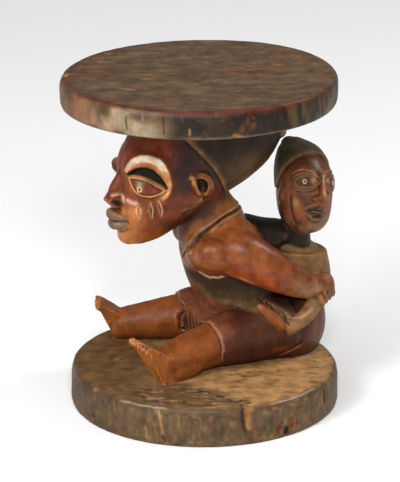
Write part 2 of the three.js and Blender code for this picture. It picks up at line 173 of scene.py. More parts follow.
class Curve:
    """A smooth line through points, the same as the one that the solid's forms follow."""

    def __init__(self, points: Sequence[Point], closed: bool = False) -> None:
        """Keeps the points.

        Args:
            points: What the line passes through.
            closed: Whether it comes back to its start.
        """
        rows = np.asarray(points, float)
        self.closed = closed
        if closed:
            self.spans = len(rows)
            self.rows = np.vstack([rows[-1], rows, rows[0], rows[1]])
        else:
            self.spans = len(rows) - 1
            self.rows = np.vstack([2 * rows[0] - rows[1], rows, 2 * rows[-1] - rows[-2]])

    def at(self, share: Array) -> Array:
        """Places on the line, at shares of its length from 0 to 1."""
        place = np.asarray(share, float) * self.spans
        index = np.clip(np.floor(place).astype(int), 0, self.spans - 1)
        part = (place - index)[:, None]
        a, b, c, d = (self.rows[index + step] for step in range(4))
        first, second, third = (
            np.sqrt(np.maximum(np.linalg.norm(q - p, axis=1, keepdims=True), 1e-8))
            for p, q in ((a, b), (b, c), (c, d))
        )
        leave = ((b - a) / first - (c - a) / (first + second) + (c - b) / second) * second
        arrive = ((c - b) / second - (d - b) / (second + third) + (d - c) / third) * second
        cubic = 2 * b - 2 * c + leave + arrive
        square = -3 * b + 3 * c - 2 * leave - arrive
        return ((cubic * part + square) * part + leave) * part + b

    def tangent(self, share: Array) -> Array:
        """Unit directions of the line at shares of its length."""
        step = 1e-4
        return unit(self.at(np.minimum(share + step, 1.0)) - self.at(np.maximum(share - step, 0.0)))

    def points(self, count: int) -> Array:
        """The line as a row of evenly spread points."""
        return self.at(np.linspace(0.0, 1.0, count))


# The clay forms.


@dataclass(frozen=True)
class Limb:
    """A round-ended form that follows a spine; wide runs along its side direction."""

    spine: Sequence[Point]
    wide: Point
    deep: Point
    side: Point = (1.0, 0.0, 0.0)
    blunt: float = 3.0
    square: float = 2.0

    def shape(self, globe: Array) -> Array:
        """Carries a unit sphere's points onto the form."""
        curve = Curve(self.spine)
        pole = globe[:, 2]
        share = (1.0 + pole) / 2.0
        axis = curve.tangent(share)
        second = unit(np.cross(axis, np.asarray(self.side, float)))
        first = unit(np.cross(second, axis))
        ring = np.maximum(1.0 - np.abs(pole) ** self.blunt, 0.0) ** (1.0 / self.blunt)
        ring[np.abs(pole) > 1.0 - 1e-6] = 0.0
        turn = np.arctan2(globe[:, 1], globe[:, 0])
        power = 2.0 / self.square
        across = np.sign(np.cos(turn)) * np.abs(np.cos(turn)) ** power * ring * along(self.wide, share)
        depth = np.sign(np.sin(turn)) * np.abs(np.sin(turn)) ** power * ring * along(self.deep, share)
        return curve.at(share) + first * across[:, None] + second * depth[:, None]


@dataclass(frozen=True)
class Ball:
    """An ellipsoid, turned about its own centre."""

    centre: Point
    radii: Point
    turn: Point = (0.0, 0.0, 0.0)

    def shape(self, globe: Array) -> Array:
        """Carries a unit sphere's points onto the form."""
        return (globe * np.asarray(self.radii, float)) @ turning(*self.turn).T + np.asarray(self.centre, float)


class Clay:
    """Forms heaped together, each face marked with the part it belongs to."""

    def __init__(self) -> None:
        """Starts an empty heap."""
        self.mesh = bmesh.new()
        self.mark = self.mesh.faces.layers.int.new("part")

    def take(self, form: bmesh.types.BMesh, part: Part, moved: Callable[[Array], Array], both: bool = False) -> None:
        """Moves a form's points and lays it on the heap.

        Args:
            form: The form, which is used up.
            part: What it is.
            moved: Carries its points to their places.
            both: Whether it has a twin on the figure's other side.
        """
        mark = form.faces.layers.int.new("part")
        for face in form.faces:
            face[mark] = int(part)
        places = moved(np.array([vert.co for vert in form.verts]))
        for vert, place in zip(form.verts, places):
            vert.co = place
        bmesh.ops.recalc_face_normals(form, faces=form.faces[:])
        copy = bpy.data.meshes.new("form")
        form.to_mesh(copy)
        self.mesh.from_mesh(copy)
        if both:
            bmesh.ops.scale(form, vec=(-1, 1, 1), verts=form.verts[:])
            bmesh.ops.reverse_faces(form, faces=form.faces[:])
            form.to_mesh(copy)
            self.mesh.from_mesh(copy)
        bpy.data.meshes.remove(copy)
        form.free()

    def globe(
        self,
        part: Part,
        shape: Callable[[Array], Array],
        grid: tuple[int, int] = (40, 28),
        both: bool = False,
        cut: tuple[Point, Point] | None = None,
    ) -> None:
        """Adds a closed form made from a sphere.

        Args:
            part: What the form is.
            shape: Carries the sphere's points onto the form.
            grid: How many sides and rows the sphere has.
            both: Whether the form has a twin on the figure's other side.
            cut: A point and a direction: the form ends flat there, and what lies that way goes.
        """
        form = bmesh.new()
        bmesh.ops.create_uvsphere(form, u_segments=grid[0], v_segments=grid[1], radius=1.0)
        if cut is None:
            self.take(form, part, shape, both)
            return
        places = shape(np.array([vert.co for vert in form.verts]))
        for vert, place in zip(form.verts, places):
            vert.co = place
        whole = form.verts[:] + form.edges[:] + form.faces[:]
        done = bmesh.ops.bisect_plane(form, geom=whole, plane_co=cut[0], plane_no=cut[1], clear_outer=True)
        rim = [item for item in done["geom_cut"] if isinstance(item, bmesh.types.BMEdge)]
        bmesh.ops.contextual_create(form, geom=rim)
        self.take(form, part, lambda points: points, both)

    def lathe(self, part: Part, profile: Sequence[Point], bend: Callable[[Array], Array]) -> None:
        """Turns a profile about the upright axis.

        Args:
            part: What the form is.
            profile: Radius and height of each corner, from axis to axis.
            bend: Moves the turned points.
        """
        form = bmesh.new()
        chain = [form.verts.new((r, 0.0, z)) for r, z in profile]
        edges = [form.edges.new(pair) for pair in zip(chain, chain[1:])]
        bmesh.ops.spin(
            form, geom=chain + edges, cent=(0, 0, 0), axis=(0, 0, 1), dvec=(0, 0, 0),
            angle=2 * math.pi, steps=160, use_merge=True, use_duplicate=False,
        )
        bmesh.ops.remove_doubles(form, verts=form.verts[:], dist=1e-3)
        self.take(form, part, bend)

    def slab(
        self, part: Part, outline: Sequence[Point], width: float, taper: Point, matrix: Array, shift: Array
    ) -> None:
        """Adds a slab with the outline of a profile, and its twin on the other side.

        Args:
            part: What the form is.
            outline: Its corners along and up.
            width: Its width across at the top.
            taper: How far its inner side draws in at the bottom, and how far its bottom draws back.
            matrix: How it is turned.
            shift: Where it stands.
        """
        form = bmesh.new()
        face = form.faces.new([form.verts.new((-width / 2, y, z)) for y, z in outline])
        made = bmesh.ops.extrude_face_region(form, geom=[face])["geom"]
        moved = [item for item in made if isinstance(item, bmesh.types.BMVert)]
        bmesh.ops.translate(form, verts=moved, vec=(width, 0, 0))
        low, high = min(z for _, z in outline), max(z for _, z in outline)

        def placed(points: Array) -> Array:
            points = points.copy()
            depth = (high - points[:, 2]) / (high - low)
            points[:, 0] += taper[0] * (points[:, 0] < 0) * depth
            points[:, 1] += taper[1] * depth
            return points @ matrix.T + shift

        self.take(form, part, placed, both=True)


class Skin:
    """The fused carving's surface, with its points as rows of numbers."""

    def __init__(self, clay: Clay) -> None:
        """Fuses the clay into one closed surface.

        Args:
            clay: The heap of forms.
        """
        heap = bpy.data.meshes.new("heap")
        clay.mesh.to_mesh(heap)
        thing = bpy.data.objects.new("heap", heap)
        bpy.context.scene.collection.objects.link(thing)
        fuse = thing.modifiers.new("Fuse", "REMESH")
        fuse.mode = "VOXEL"
        fuse.voxel_size = VOXEL
        self.mesh = bpy.data.meshes.new_from_object(thing.evaluated_get(bpy.context.evaluated_depsgraph_get()))
        bpy.data.objects.remove(thing)
        self.clay = clay
        self.read()
        self.keep_largest()
        log.info("fused: %d points", len(self.coords))

    def read(self) -> None:
        """Reads the points and edges off the mesh."""
        count = len(self.mesh.vertices)
        self.coords = np.empty(count * 3)
        self.mesh.vertices.foreach_get("co", self.coords)
        self.coords = self.coords.reshape(-1, 3)
        self.edges = np.empty(len(self.mesh.edges) * 2, dtype=np.int32)
        self.mesh.edges.foreach_get("vertices", self.edges)
        self.edges = self.edges.reshape(-1, 2)
        self.degree = np.maximum(np.bincount(self.edges.ravel(), minlength=count), 1)
        self.refresh()

    def refresh(self) -> None:
        """Writes the points to the mesh and reads its normals again."""
        self.mesh.vertices.foreach_set("co", self.coords.ravel())
        self.mesh.update()
        self.normals = np.empty(len(self.coords) * 3)
        self.mesh.vertex_normals.foreach_get("vector", self.normals)
        self.normals = self.normals.reshape(-1, 3)

    def keep_largest(self) -> None:
        """Drops pockets that the fusing closed inside the wood."""
        first, second = self.edges.T
        label = np.arange(len(self.coords))
        while True:
            low = np.minimum(label[first], label[second])
            fresh = label.copy()
            np.minimum.at(fresh, first, low)
            np.minimum.at(fresh, second, low)
            fresh = fresh[fresh]
            if np.array_equal(fresh, label):
                break
            label = fresh
        counts = np.bincount(label)
        lost = np.flatnonzero(label != counts.argmax())
        if len(lost):
            mesh = bmesh.new()
            mesh.from_mesh(self.mesh)
            mesh.verts.ensure_lookup_table()
            bmesh.ops.delete(mesh, geom=[mesh.verts[i] for i in lost], context="VERTS")
            mesh.to_mesh(self.mesh)
            mesh.free()
            self.read()

    def means(self, values: Array) -> Array:
        """The mean of each point's neighbours."""
        first, second = self.edges.T
        count = len(self.coords)
        columns = values.reshape(count, -1)
        total = np.empty_like(columns)
        for n in range(columns.shape[1]):
            column = np.ascontiguousarray(columns[:, n])
            total[:, n] = np.bincount(first, column[second], count) + np.bincount(second, column[first], count)
        return (total / self.degree[:, None]).reshape(values.shape)

    def relax(self, rounds: int, share: float = 0.6, mask: Array | None = None) -> None:
        """Smooths the surface.

        Args:
            rounds: How often each point moves.
            share: How far it moves towards its neighbours' mean.
            mask: How much of that each point takes.
        """
        weight = share if mask is None else (share * mask)[:, None]
        for _ in range(rounds):
            self.coords += weight * (self.means(self.coords) - self.coords)
        self.refresh()

    def blurred(self, values: Array, rounds: int) -> Array:
        """Values spread over the surface."""
        for _ in range(rounds):
            values = 0.5 * values + 0.5 * self.means(values)
        return values

    def push(self, amount: Array, direction: Array | None = None) -> None:
        """Moves points out by an amount, along their normals or one direction."""
        way = self.normals if direction is None else direction
        self.coords += amount[:, None] * way
        self.refresh()

    def refine(self, mask: Array) -> None:
        """Halves the grain where a fine form comes.

        Args:
            mask: True at the points whose faces are divided.
        """
        mesh = bmesh.new()
        mesh.from_mesh(self.mesh)
        mesh.verts.ensure_lookup_table()
        edges = [edge for edge in mesh.edges if mask[edge.verts[0].index] and mask[edge.verts[1].index]]
        bmesh.ops.subdivide_edges(mesh, edges=edges, cuts=1, use_grid_fill=True)
        mesh.to_mesh(self.mesh)
        mesh.free()
        self.read()

    def sort(self) -> None:
        """Finds the part that each point belongs to, from the nearest clay form."""
        tree = BVHTree.FromBMesh(self.clay.mesh)
        marks = [face[self.clay.mark] for face in self.clay.mesh.faces]
        parts = np.where(self.coords[:, 2] > 200, int(Part.SEAT), int(Part.BASE))
        figure = (self.coords[:, 2] > BASE_THICKNESS - 0.5) & (self.coords[:, 2] < HEIGHT - SEAT_THICKNESS - 0.5)
        for index in np.flatnonzero(figure):
            found = tree.find_nearest(Vector(self.coords[index]))
            parts[index] = marks[found[2]]
        self.parts = parts

    def mask(self, *parts: Part, rounds: int = 2) -> Array:
        """How much each point belongs to the parts, from 0 to 1."""
        inside = np.isin(self.parts, [int(part) for part in parts]).astype(float)
        return self.blurred(inside, rounds)


class Sheet:
    """A flat frame set on the figure, to draw and carve in: u along, v up and w out of the surface."""

    def __init__(self, origin: Point, along_way: Point, outward: Point, side: float = 1.0) -> None:
        """Sets the frame.

        Args:
            origin: Its middle.
            along_way: The direction of u.
            outward: The direction of w.
            side: 1, or -1 for the twin on the figure's other side.
        """
        flip = np.array([side, 1.0, 1.0])
        first = unit(np.asarray(along_way, float))
        out = np.asarray(outward, float)
        out = unit(out - first * (out @ first))
        up = np.cross(first, out)
        if up[2] < 0:
            up = -up
        self.origin = np.asarray(origin, float) * flip
        self.axes = np.array([first, up, out]) * flip

    def local(self, points: Array) -> Array:
        """Places in the frame."""
        return (points - self.origin) @ self.axes.T


def to_line(points: Array, line: Array) -> tuple[Array, Array]:
    """Measures how far points lie from a line of short steps.

    Args:
        points: The places, in two or three dimensions.
        line: The line's own points.

    Returns:
        Each place's distance, and how far along the line its nearest point is, from 0 to 1.
    """
    best = np.full(len(points), 1e9)
    share = np.zeros(len(points))
    for index, (start, end) in enumerate(zip(line, line[1:])):
        step = end - start
        part = np.clip((points - start) @ step / max(step @ step, 1e-12), 0.0, 1.0)
        gap = np.linalg.norm(points - start - part[:, None] * step, axis=1)
        nearer = gap < best
        best[nearer] = gap[nearer]
        share[nearer] = (index + part[nearer]) / (len(line) - 1)
    return best, share


def within(points: Array, outline: Array) -> Array:
    """Tells which flat places lie inside a closed outline."""
    inside = np.zeros(len(points), bool)
    x, y = points[:, 0], points[:, 1]
    for (x1, y1), (x2, y2) in zip(outline, np.roll(outline, -1, axis=0)):
        crosses = (y1 > y) != (y2 > y)
        if y1 != y2:
            inside ^= crosses & (x < (x2 - x1) * (y - y1) / (y2 - y1) + x1)
    return inside


def flat_curve(points: Sequence[Point], count: int = 40, closed: bool = False) -> Array:
    """A smooth flat line through corners, as a row of points."""
    rows = np.column_stack([np.asarray(points, float), np.zeros(len(points))])
    return Curve(rows, closed).points(count)[:, :2]


# Colours.


def linear(code: str) -> Array:
    """Turns an sRGB hex colour into linear numbers."""
    parts = np.array([int(code[n : n + 2], 16) for n in (1, 3, 5)]) / 255.0
    return np.where(parts <= 0.04045, parts / 12.92, ((parts + 0.055) / 1.055) ** 2.4)


@dataclass(frozen=True)
class Patina:
    """Hardwood darkened by oil, smoke and handling, and where a region lies in shadow, by painted shade: the colour of
    one region, and how polished it is.
    """

    tone: str
    gloss: float = 0.5
    grain: float = 0.5


PATINAS: dict[Part, Patina] = {
    Part.SEAT: Patina("#513d28", 0.5, 1.0),
    Part.BASE: Patina("#54402a", 0.35, 1.0),
    Part.FACE: Patina("#662f12", 0.75, 0.35),
    Part.HAIR: Patina("#241608", 0.45, 0.4),
    Part.LIP: Patina("#66523a", 0.6, 0.2),
    Part.EAR: Patina("#50280f", 0.65, 0.2),
    Part.NECK: Patina("#73431f", 0.6, 0.4),
    Part.CLOTH: Patina("#2d1d0e", 0.35, 0.5),
    Part.TRUNK: Patina("#78401f", 0.8, 0.35),
    Part.ARM: Patina("#713b1b", 0.85, 0.4),
    Part.HAND: Patina("#6c4226", 0.6, 0.3),
    Part.SKIRT: Patina("#42210f", 0.55, 0.6),
    Part.SHIN: Patina("#743c15", 0.6, 0.5),
    Part.FOOT: Patina("#8b4e22", 0.5, 0.7),
    Part.WRAP: Patina("#70502c", 0.4, 0.5),
    # Painted shade: the child's neck and the form behind it are near-black because they lie in shadow.
    Part.CHILD_NECK: Patina("#1e140c", 0.5, 0.3),
    Part.CHILD_FACE: Patina("#6e3e20", 0.8, 0.3),
    Part.CHILD_HAIR: Patina("#524230", 0.5, 0.4),
    Part.CHILD_LIP: Patina("#3d3020", 0.6, 0.2),
    Part.CHILD_LEG: Patina("#735231", 0.5, 0.4),
    Part.CHILD_SOLE: Patina("#703c18", 0.4, 0.6),
    Part.BREAST: Patina("#7b421f", 0.85, 0.3),
}


class Paint:
    """Colour, polish and grain laid on the skin's points."""

    def __init__(self, skin: Skin) -> None:
        """Lays each part's own patina.

        Args:
            skin: The finished surface.
        """
        self.skin = skin
        tones = np.array([linear(PATINAS[part].tone) for part in Part])
        finish = np.array([(PATINAS[part].gloss, PATINAS[part].grain) for part in Part])
        self.tone = skin.blurred(tones[skin.parts], 2)
        self.gloss, self.grain = skin.blurred(finish[skin.parts], 2).T.copy()
        self.rough = np.zeros(len(self.tone))

    def blend(self, code: str, mask: Array, gloss: float | None = None) -> None:
        """Lays a colour over the skin.

        Args:
            code: The colour.
            mask: How much of it each point takes.
            gloss: The polish that comes with it.
        """
        share = np.clip(mask, 0.0, 1.0)
        self.tone += share[:, None] * (linear(code) - self.tone)
        if gloss is not None:
            self.gloss += share * (gloss - self.gloss)

    def shade(self, mask: Array, factor: float) -> None:
        """Darkens or lightens the skin by a factor."""
        self.tone *= (1.0 + np.clip(mask, 0.0, 1.0) * (factor - 1.0))[:, None]


# The carved relief.


@dataclass(frozen=True)
class Stroke:
    """A line cut into the wood or left proud of it, with the colour that wear or dirt gave it; some lines are painted
    highlights and painted shade.
    """

    points: Sequence[Point]
    width: float
    height: float = 0.0
    tone: str = ""
    share: float = 0.8
    both: bool = False
    closed: bool = False

    def measure(self, skin: Skin) -> Array:
        """How strongly the line is felt at each point of the skin, from 0 to 1."""
        felt = np.zeros(len(skin.coords))
        line = Curve(self.points, self.closed).points(8 * len(self.points))
        for side in (1.0, -1.0) if self.both else (1.0,):
            way = line * (side, 1.0, 1.0)
            margin = 3.0 * self.width + 3.0
            near = np.all((skin.coords > way.min(0) - margin) & (skin.coords < way.max(0) + margin), axis=1)
            places = skin.coords[near]
            if not len(places):
                continue
            for index, point in enumerate(way):
                way[index] = places[np.argmin(np.sum((places - point) ** 2, axis=1))]
            way[1:-1] = (way[:-2] + 2 * way[1:-1] + way[2:]) / 4
            gap, share = to_line(places, way)
            ends = 1.0 if self.closed else smoothstep(0.0, 0.15, np.minimum(share, 1.0 - share))
            felt[near] = np.maximum(felt[near], bell(gap, self.width) * ends)
        return felt


@dataclass(frozen=True)
class Patch:
    """A rounded spot that is pushed in or out, or only stained; some spots are painted highlights and painted shade."""

    centre: Point
    radii: Point
    height: float = 0.0
    tone: str = ""
    share: float = 0.8
    ragged: float = 0.0
    both: bool = False

    def measure(self, skin: Skin) -> Array:
        """How strongly the spot is felt at each point of the skin, from 0 to 1."""
        felt = np.zeros(len(skin.coords))
        for side in (1.0, -1.0) if self.both else (1.0,):
            middle = np.asarray(self.centre, float) * (side, 1.0, 1.0)
            reach = np.linalg.norm((skin.coords - middle) / np.asarray(self.radii, float), axis=1)
            near = reach < 1.8
            if self.ragged:
                reach[near] += self.ragged * noise(skin.coords[near], 3.0, 41)
            felt[near] = np.maximum(felt[near], 1.0 - smoothstep(0.6, 1.2, reach[near]))
        return felt


Mark = Stroke | Patch


def carve_marks(skin: Skin, marks: Sequence[Mark]) -> None:
    """Cuts marks into the skin, all at once."""
    amount = np.zeros(len(skin.coords))
    for mark in marks:
        if mark.height:
            amount += mark.height * mark.measure(skin)
    skin.push(amount)


def colour_marks(paint: Paint, marks: Sequence[Mark]) -> None:
    """Lays the colours of marks on the skin."""
    for mark in marks:
        if mark.tone:
            paint.blend(mark.tone, mark.share * mark.measure(paint.skin))


@dataclass
class EyeRelief:
    """One of the mother's eyes: a dish under an arched brow, with a rimmed almond in it."""

    side: float
    brow: tuple[Point, ...] = (
        (-26.2, 5.8), (-24.4, 14.8), (-21.6, 20.6), (-15.6, 27), (-7.8, 31), (1, 31.9), (8.3, 30.4),
        (16, 23.8), (21.7, 16.4), (26.8, 3.9), (25.4, -6.2), (20.6, -12.8),
    )
    recess: tuple[Point, ...] = ((-24.1, 3), (-17.6, 11.4), (-9.1, 16.9), (0.8, 18.1), (12.6, 13), (24.7, 3.2))
    lids: tuple[Point, ...] = (
        (-20.3, 0), (-13, 3.8), (-4.4, 5.5), (4.9, 4.8), (13.5, 2.6), (22.2, 0.3), (18.1, -4.7),
        (11.6, -9.5), (5.3, -11.2), (-2.5, -11.8), (-11.5, -8.5),
    )
    pupil: Point = (-4.2, -6.4)
    glint: Point = (-5.6, -1.6)

    def measure(self, points: Array) -> dict[str, Array]:
        """Draws the eye on the skin.

        Args:
            points: Places on the figure.

        Returns:
            How near each place is to each of the eye's lines, by name.
        """
        sheet = Sheet((31, -68, 253.5), (0.463, 0.834, -0.301), (0.874, -0.486, -0.001), self.side)
        local = sheet.local(points)
        near = (np.abs(local[:, 2]) < 16) & (np.abs(local[:, 0]) < 38) & (np.abs(local[:, 1] - 6) < 36)
        flat = local[near][:, :2]
        brow = flat_curve(self.brow, 48)
        recess = flat_curve(self.recess, 32)
        lids = np.vstack([flat_curve(self.lids[:6], 24), flat_curve(self.lids[5:] + self.lids[:1], 24)[1:]])
        brow_gap, brow_share = to_line(flat, brow)
        dish = within(flat, np.vstack([brow, (0, -26)])) * smoothstep(-16.0, -2.0, flat[:, 1])
        return {
            "near": near, "flat": flat, "brow": brow_gap, "share": brow_share, "lid": to_line(flat, lids)[0],
            "pupil": np.linalg.norm(flat - np.asarray(self.pupil), axis=1), "dish": dish,
            "hollow": within(flat, np.vstack([recess, lids[23::-1]])).astype(float),
            "under": within(flat, np.vstack([brow, (0, -26)])),
            "ball": within(flat, lids), "recess": to_line(flat, recess)[0], "out": sheet.axes[2],
        }

    def carve(self, skin: Skin) -> None:
        """Cuts the eye into the skin."""
        seen = self.measure(skin.coords)
        flat, lid = seen["flat"], seen["lid"]
        fade = 1.0 - smoothstep(0.84, 1.0, seen["share"])
        height = 2.6 * bell(seen["brow"], 4.6) * fade
        height -= 3.4 * seen["dish"] * smoothstep(0.5, 11.0, seen["brow"])
        height -= 4.4 * seen["hollow"] * smoothstep(0.0, 4.5, seen["recess"])
        bulge = np.clip(1.0 - (flat[:, 0] / 24.0) ** 2 - ((flat[:, 1] + 3.0) / 13.0) ** 2, 0.0, 1.0)
        height += 5.4 * np.sqrt(bulge) * np.where(seen["ball"], 1.0, 1.0 - smoothstep(0.2, 1.5, lid))
        height += 1.1 * bell(lid, 1.1)
        height -= 0.7 * bell(np.where(seen["ball"], lid, 9.0) - 2.4, 0.9)
        height += 0.5 * bell(seen["pupil"] - 2.3, 0.8) - 1.4 * bell(seen["pupil"], 1.1)
        amount = np.zeros(len(skin.coords))
        amount[seen["near"]] = height
        skin.push(amount, seen["out"])

    def colour(self, paint: Paint) -> None:
        """Rubs the eye's rims light and its hollows dark, paints a highlight along the brow and a glint on the eyeball,
        and paints shade under the lids' rims.
        """
        seen = self.measure(paint.skin.coords)

        def spread(values: Array) -> Array:
            full = np.zeros(len(paint.tone))
            full[seen["near"]] = values
            return full

        ball, lid = seen["ball"], seen["lid"]
        normals = paint.skin.normals[seen["near"]]
        steep = (1.0 - smoothstep(0.3, 0.7, normals @ seen["out"])) * smoothstep(0.0, 0.4, -normals[:, 2])
        share = seen["share"]
        width = 8.4 * (0.45 + 0.55 * np.sin(math.pi * share)) * (1.0 - 0.4 * smoothstep(0.66, 0.85, share))
        inner = 1.0 - smoothstep(width - 2.2, width + 1.2, seen["brow"])
        band = np.where(seen["under"], inner, 1.0 - smoothstep(0.2, 1.9, seen["brow"]))
        speck = 0.85 + 0.3 * noise(paint.skin.coords[seen["near"]], 1.5, 31)
        paint.blend("#b0703a", spread(0.8 * seen["dish"] * bell(seen["brow"] - width - 1.5, 3.4)))
        # Painted highlight: the brow band is laid tan, partly as worn wood, then whitish and glossy over its first half
        # as the light it catches.
        paint.blend("#bd8350", spread(0.85 * band * (1.0 - smoothstep(0.93, 1.0, share))), 0.8)
        paint.blend("#ecd9c2", spread(0.95 * band * speck * (1.0 - smoothstep(0.55, 0.72, share)) * smoothstep(0.0, 0.14, share)), 0.8)
        paint.blend("#0e0806", spread(0.95 * seen["hollow"] * smoothstep(0.6, 5.0, seen["recess"])), 0.3)
        paint.blend("#6e2c1c", spread(0.9 * ball))
        paint.blend("#8c8f6a", spread(ball * bell(np.linalg.norm(seen["flat"] - self.glint, axis=1), 3.2)))
        paint.blend("#d8a064", spread(0.95 * bell(lid, 0.75)), 0.6)
        # Painted shade: the downward walls under the lids' rims are darkened where shade falls.
        paint.blend("#160b07", spread(0.92 * steep * bell(lid, 2.4)))
        paint.blend("#120906", spread(0.92 * seen["hollow"] * smoothstep(0.9, 2.0, lid)), 0.3)
        paint.blend("#2c170e", spread(0.8 * ball * bell(lid - 2.5, 0.8)))
        paint.blend("#e0ac84", spread(0.9 * bell(seen["pupil"] - 2.2, 0.8)))
        paint.blend("#0c0605", spread(bell(seen["pupil"], 1.2)))


@dataclass
class ChildEye:
    """One of the child's eyes: an oval with a double rim and a ringed pupil."""

    side: float
    outer: tuple[Point, ...] = (
        (16.5, -1.7), (12.3, 4.7), (5.7, 8.5), (-1.5, 9.0), (-9.5, 7.2), (-16.1, 1.6), (-12.4, -4.9),
        (-5.2, -9.1), (3.7, -10.4), (12.4, -7.6),
    )
    inner: tuple[Point, ...] = (
        (12.6, -1.8), (7.7, 4), (0.4, 6.4), (-7.6, 5.5), (-14, 0.6), (-9.7, -4), (-1, -6.6), (8, -6.4),
    )
    crease: tuple[Point, ...] = ((14.5, 6.5), (10.1, 10.5), (2.1, 12.6), (-7.3, 10.4), (-13.7, 5.6))
    pupil: Point = (0.4, 0.2)

    def measure(self, local: Array) -> dict[str, Array]:
        """Draws the eye on the head.

        Args:
            local: Places about the head's own centre, with its features upright.

        Returns:
            How near each place is to each of the eye's lines, by name.
        """
        sheet = Sheet((16.5, -24.5, 13), (0.81, 0.58, -0.1), (0.58, -0.81, 0.1), self.side)
        flat = sheet.local(local)
        near = (np.abs(flat[:, 2]) < 12) & (np.abs(flat[:, 0]) < 24) & (np.abs(flat[:, 1]) < 20)
        flat = flat[near][:, :2]
        outer, inner = flat_curve(self.outer, 48, True), flat_curve(self.inner, 40, True)
        return {
            "near": near, "flat": flat, "outer": to_line(flat, outer)[0], "inner": to_line(flat, inner)[0],
            "within": within(flat, outer), "ball": within(flat, inner), "out": sheet.axes[2],
            "crease": to_line(flat, flat_curve(self.crease, 24))[0],
            "pupil": np.linalg.norm(flat - np.asarray(self.pupil), axis=1),
        }

    def carve(self, skin: Skin, local: Array, matrix: Array) -> None:
        """Cuts the eye into the skin.

        Args:
            skin: The surface.
            local: Its points about the head's own centre.
            matrix: Turns directions of the head into the figure's.
        """
        seen = self.measure(local)
        flat = seen["flat"]
        bulge = np.clip(1.0 - (flat[:, 0] / 17.5) ** 2 - (flat[:, 1] / 11.5) ** 2, 0.0, 1.0)
        height = 2.6 * np.sqrt(bulge) * np.where(seen["within"], 1.0, 1.0 - smoothstep(0.3, 2.0, seen["outer"]))
        height += 0.5 * bell(seen["outer"], 0.8) + 0.5 * bell(seen["inner"], 0.7)
        height -= 0.5 * seen["ball"] * smoothstep(0.5, 2.0, seen["inner"])
        height -= 0.9 * bell(np.where(seen["within"], 9.0, seen["outer"]) - 1.8, 1.0)
        height += 0.6 * bell(seen["crease"], 1.0)
        height += 0.5 * bell(seen["pupil"] - 2.0, 0.7) - 1.2 * bell(seen["pupil"], 0.9)
        out = matrix @ seen["out"]
        amount = np.zeros(len(skin.coords))
        amount[seen["near"]] = height * smoothstep(0.0, 0.4, skin.normals[seen["near"]] @ out)
        skin.push(amount, out)

    def colour(self, paint: Paint, local: Array) -> None:
        """Rubs the eye's rims light and paints a glint on the eyeball.

        Args:
            paint: The colours.
            local: The skin's points about the head's own centre.
        """
        seen = self.measure(local)

        def spread(values: Array) -> Array:
            full = np.zeros(len(paint.tone))
            full[seen["near"]] = values
            return full

        paint.blend("#54341c", spread(0.8 * seen["within"]))
        paint.blend("#2e1a0e", spread(0.85 * seen["ball"] * bell(seen["pupil"], 6.5)))
        paint.blend("#946a42", spread(0.55 * bell(seen["outer"], 0.6)), 0.7)
        paint.blend("#8a623c", spread(0.5 * bell(seen["inner"], 0.55)), 0.7)
        paint.blend("#8a5c3c", spread(0.45 * bell(seen["crease"], 1.0)))
        # Painted highlight: a pale glossy spot on the eyeball stands in for a glint.
        glint_gap = np.linalg.norm(seen["flat"] - (-8.5, 2.0), axis=1)
        paint.blend("#b09a78", spread(0.5 * seen["ball"] * bell(glint_gap, 3.0)), 0.9)
        paint.blend("#d8b48a", spread(bell(seen["pupil"] - 1.9, 0.6)))
        paint.blend("#0c0605", spread(bell(seen["pupil"], 0.9)))


def past(way: Array, across: Array, line: Sequence[Point]) -> Array:
    """Measures how far places lie past a line on a flat drawing.

    Args:
        way: Their first numbers, along which the line runs.
        across: Their second numbers.
        line: The line's corners, in the order of their first numbers.

    Returns:
        Each place's distance from the line, negative before it.
    """
    rows = np.asarray(line, float)
    gap = to_line(np.column_stack([way, across]), flat_curve(rows, 40))[0]
    return gap * np.sign(across - np.interp(way, rows[:, 0], rows[:, 1]))


def lens_outline(axis: Sequence[Point], half: float) -> tuple[Array, Array]:
    """Draws the two sides of a lens-shaped mark.

    Args:
        axis: Its middle line, from tip to tip.
        half: Half its greatest width.

    Returns:
        The lines of its two sides.
    """
    line = Curve(axis).points(16)
    way = Curve(axis).tangent(np.linspace(0, 1, 16))
    out = unit(np.asarray(((0.85, -0.52, 0.0),), float))
    across = unit(np.cross(way, out)) * (half * np.sin(np.pi * np.linspace(0, 1, 16)))[:, None]
    return line + across, line - across


# The sub-assemblies.


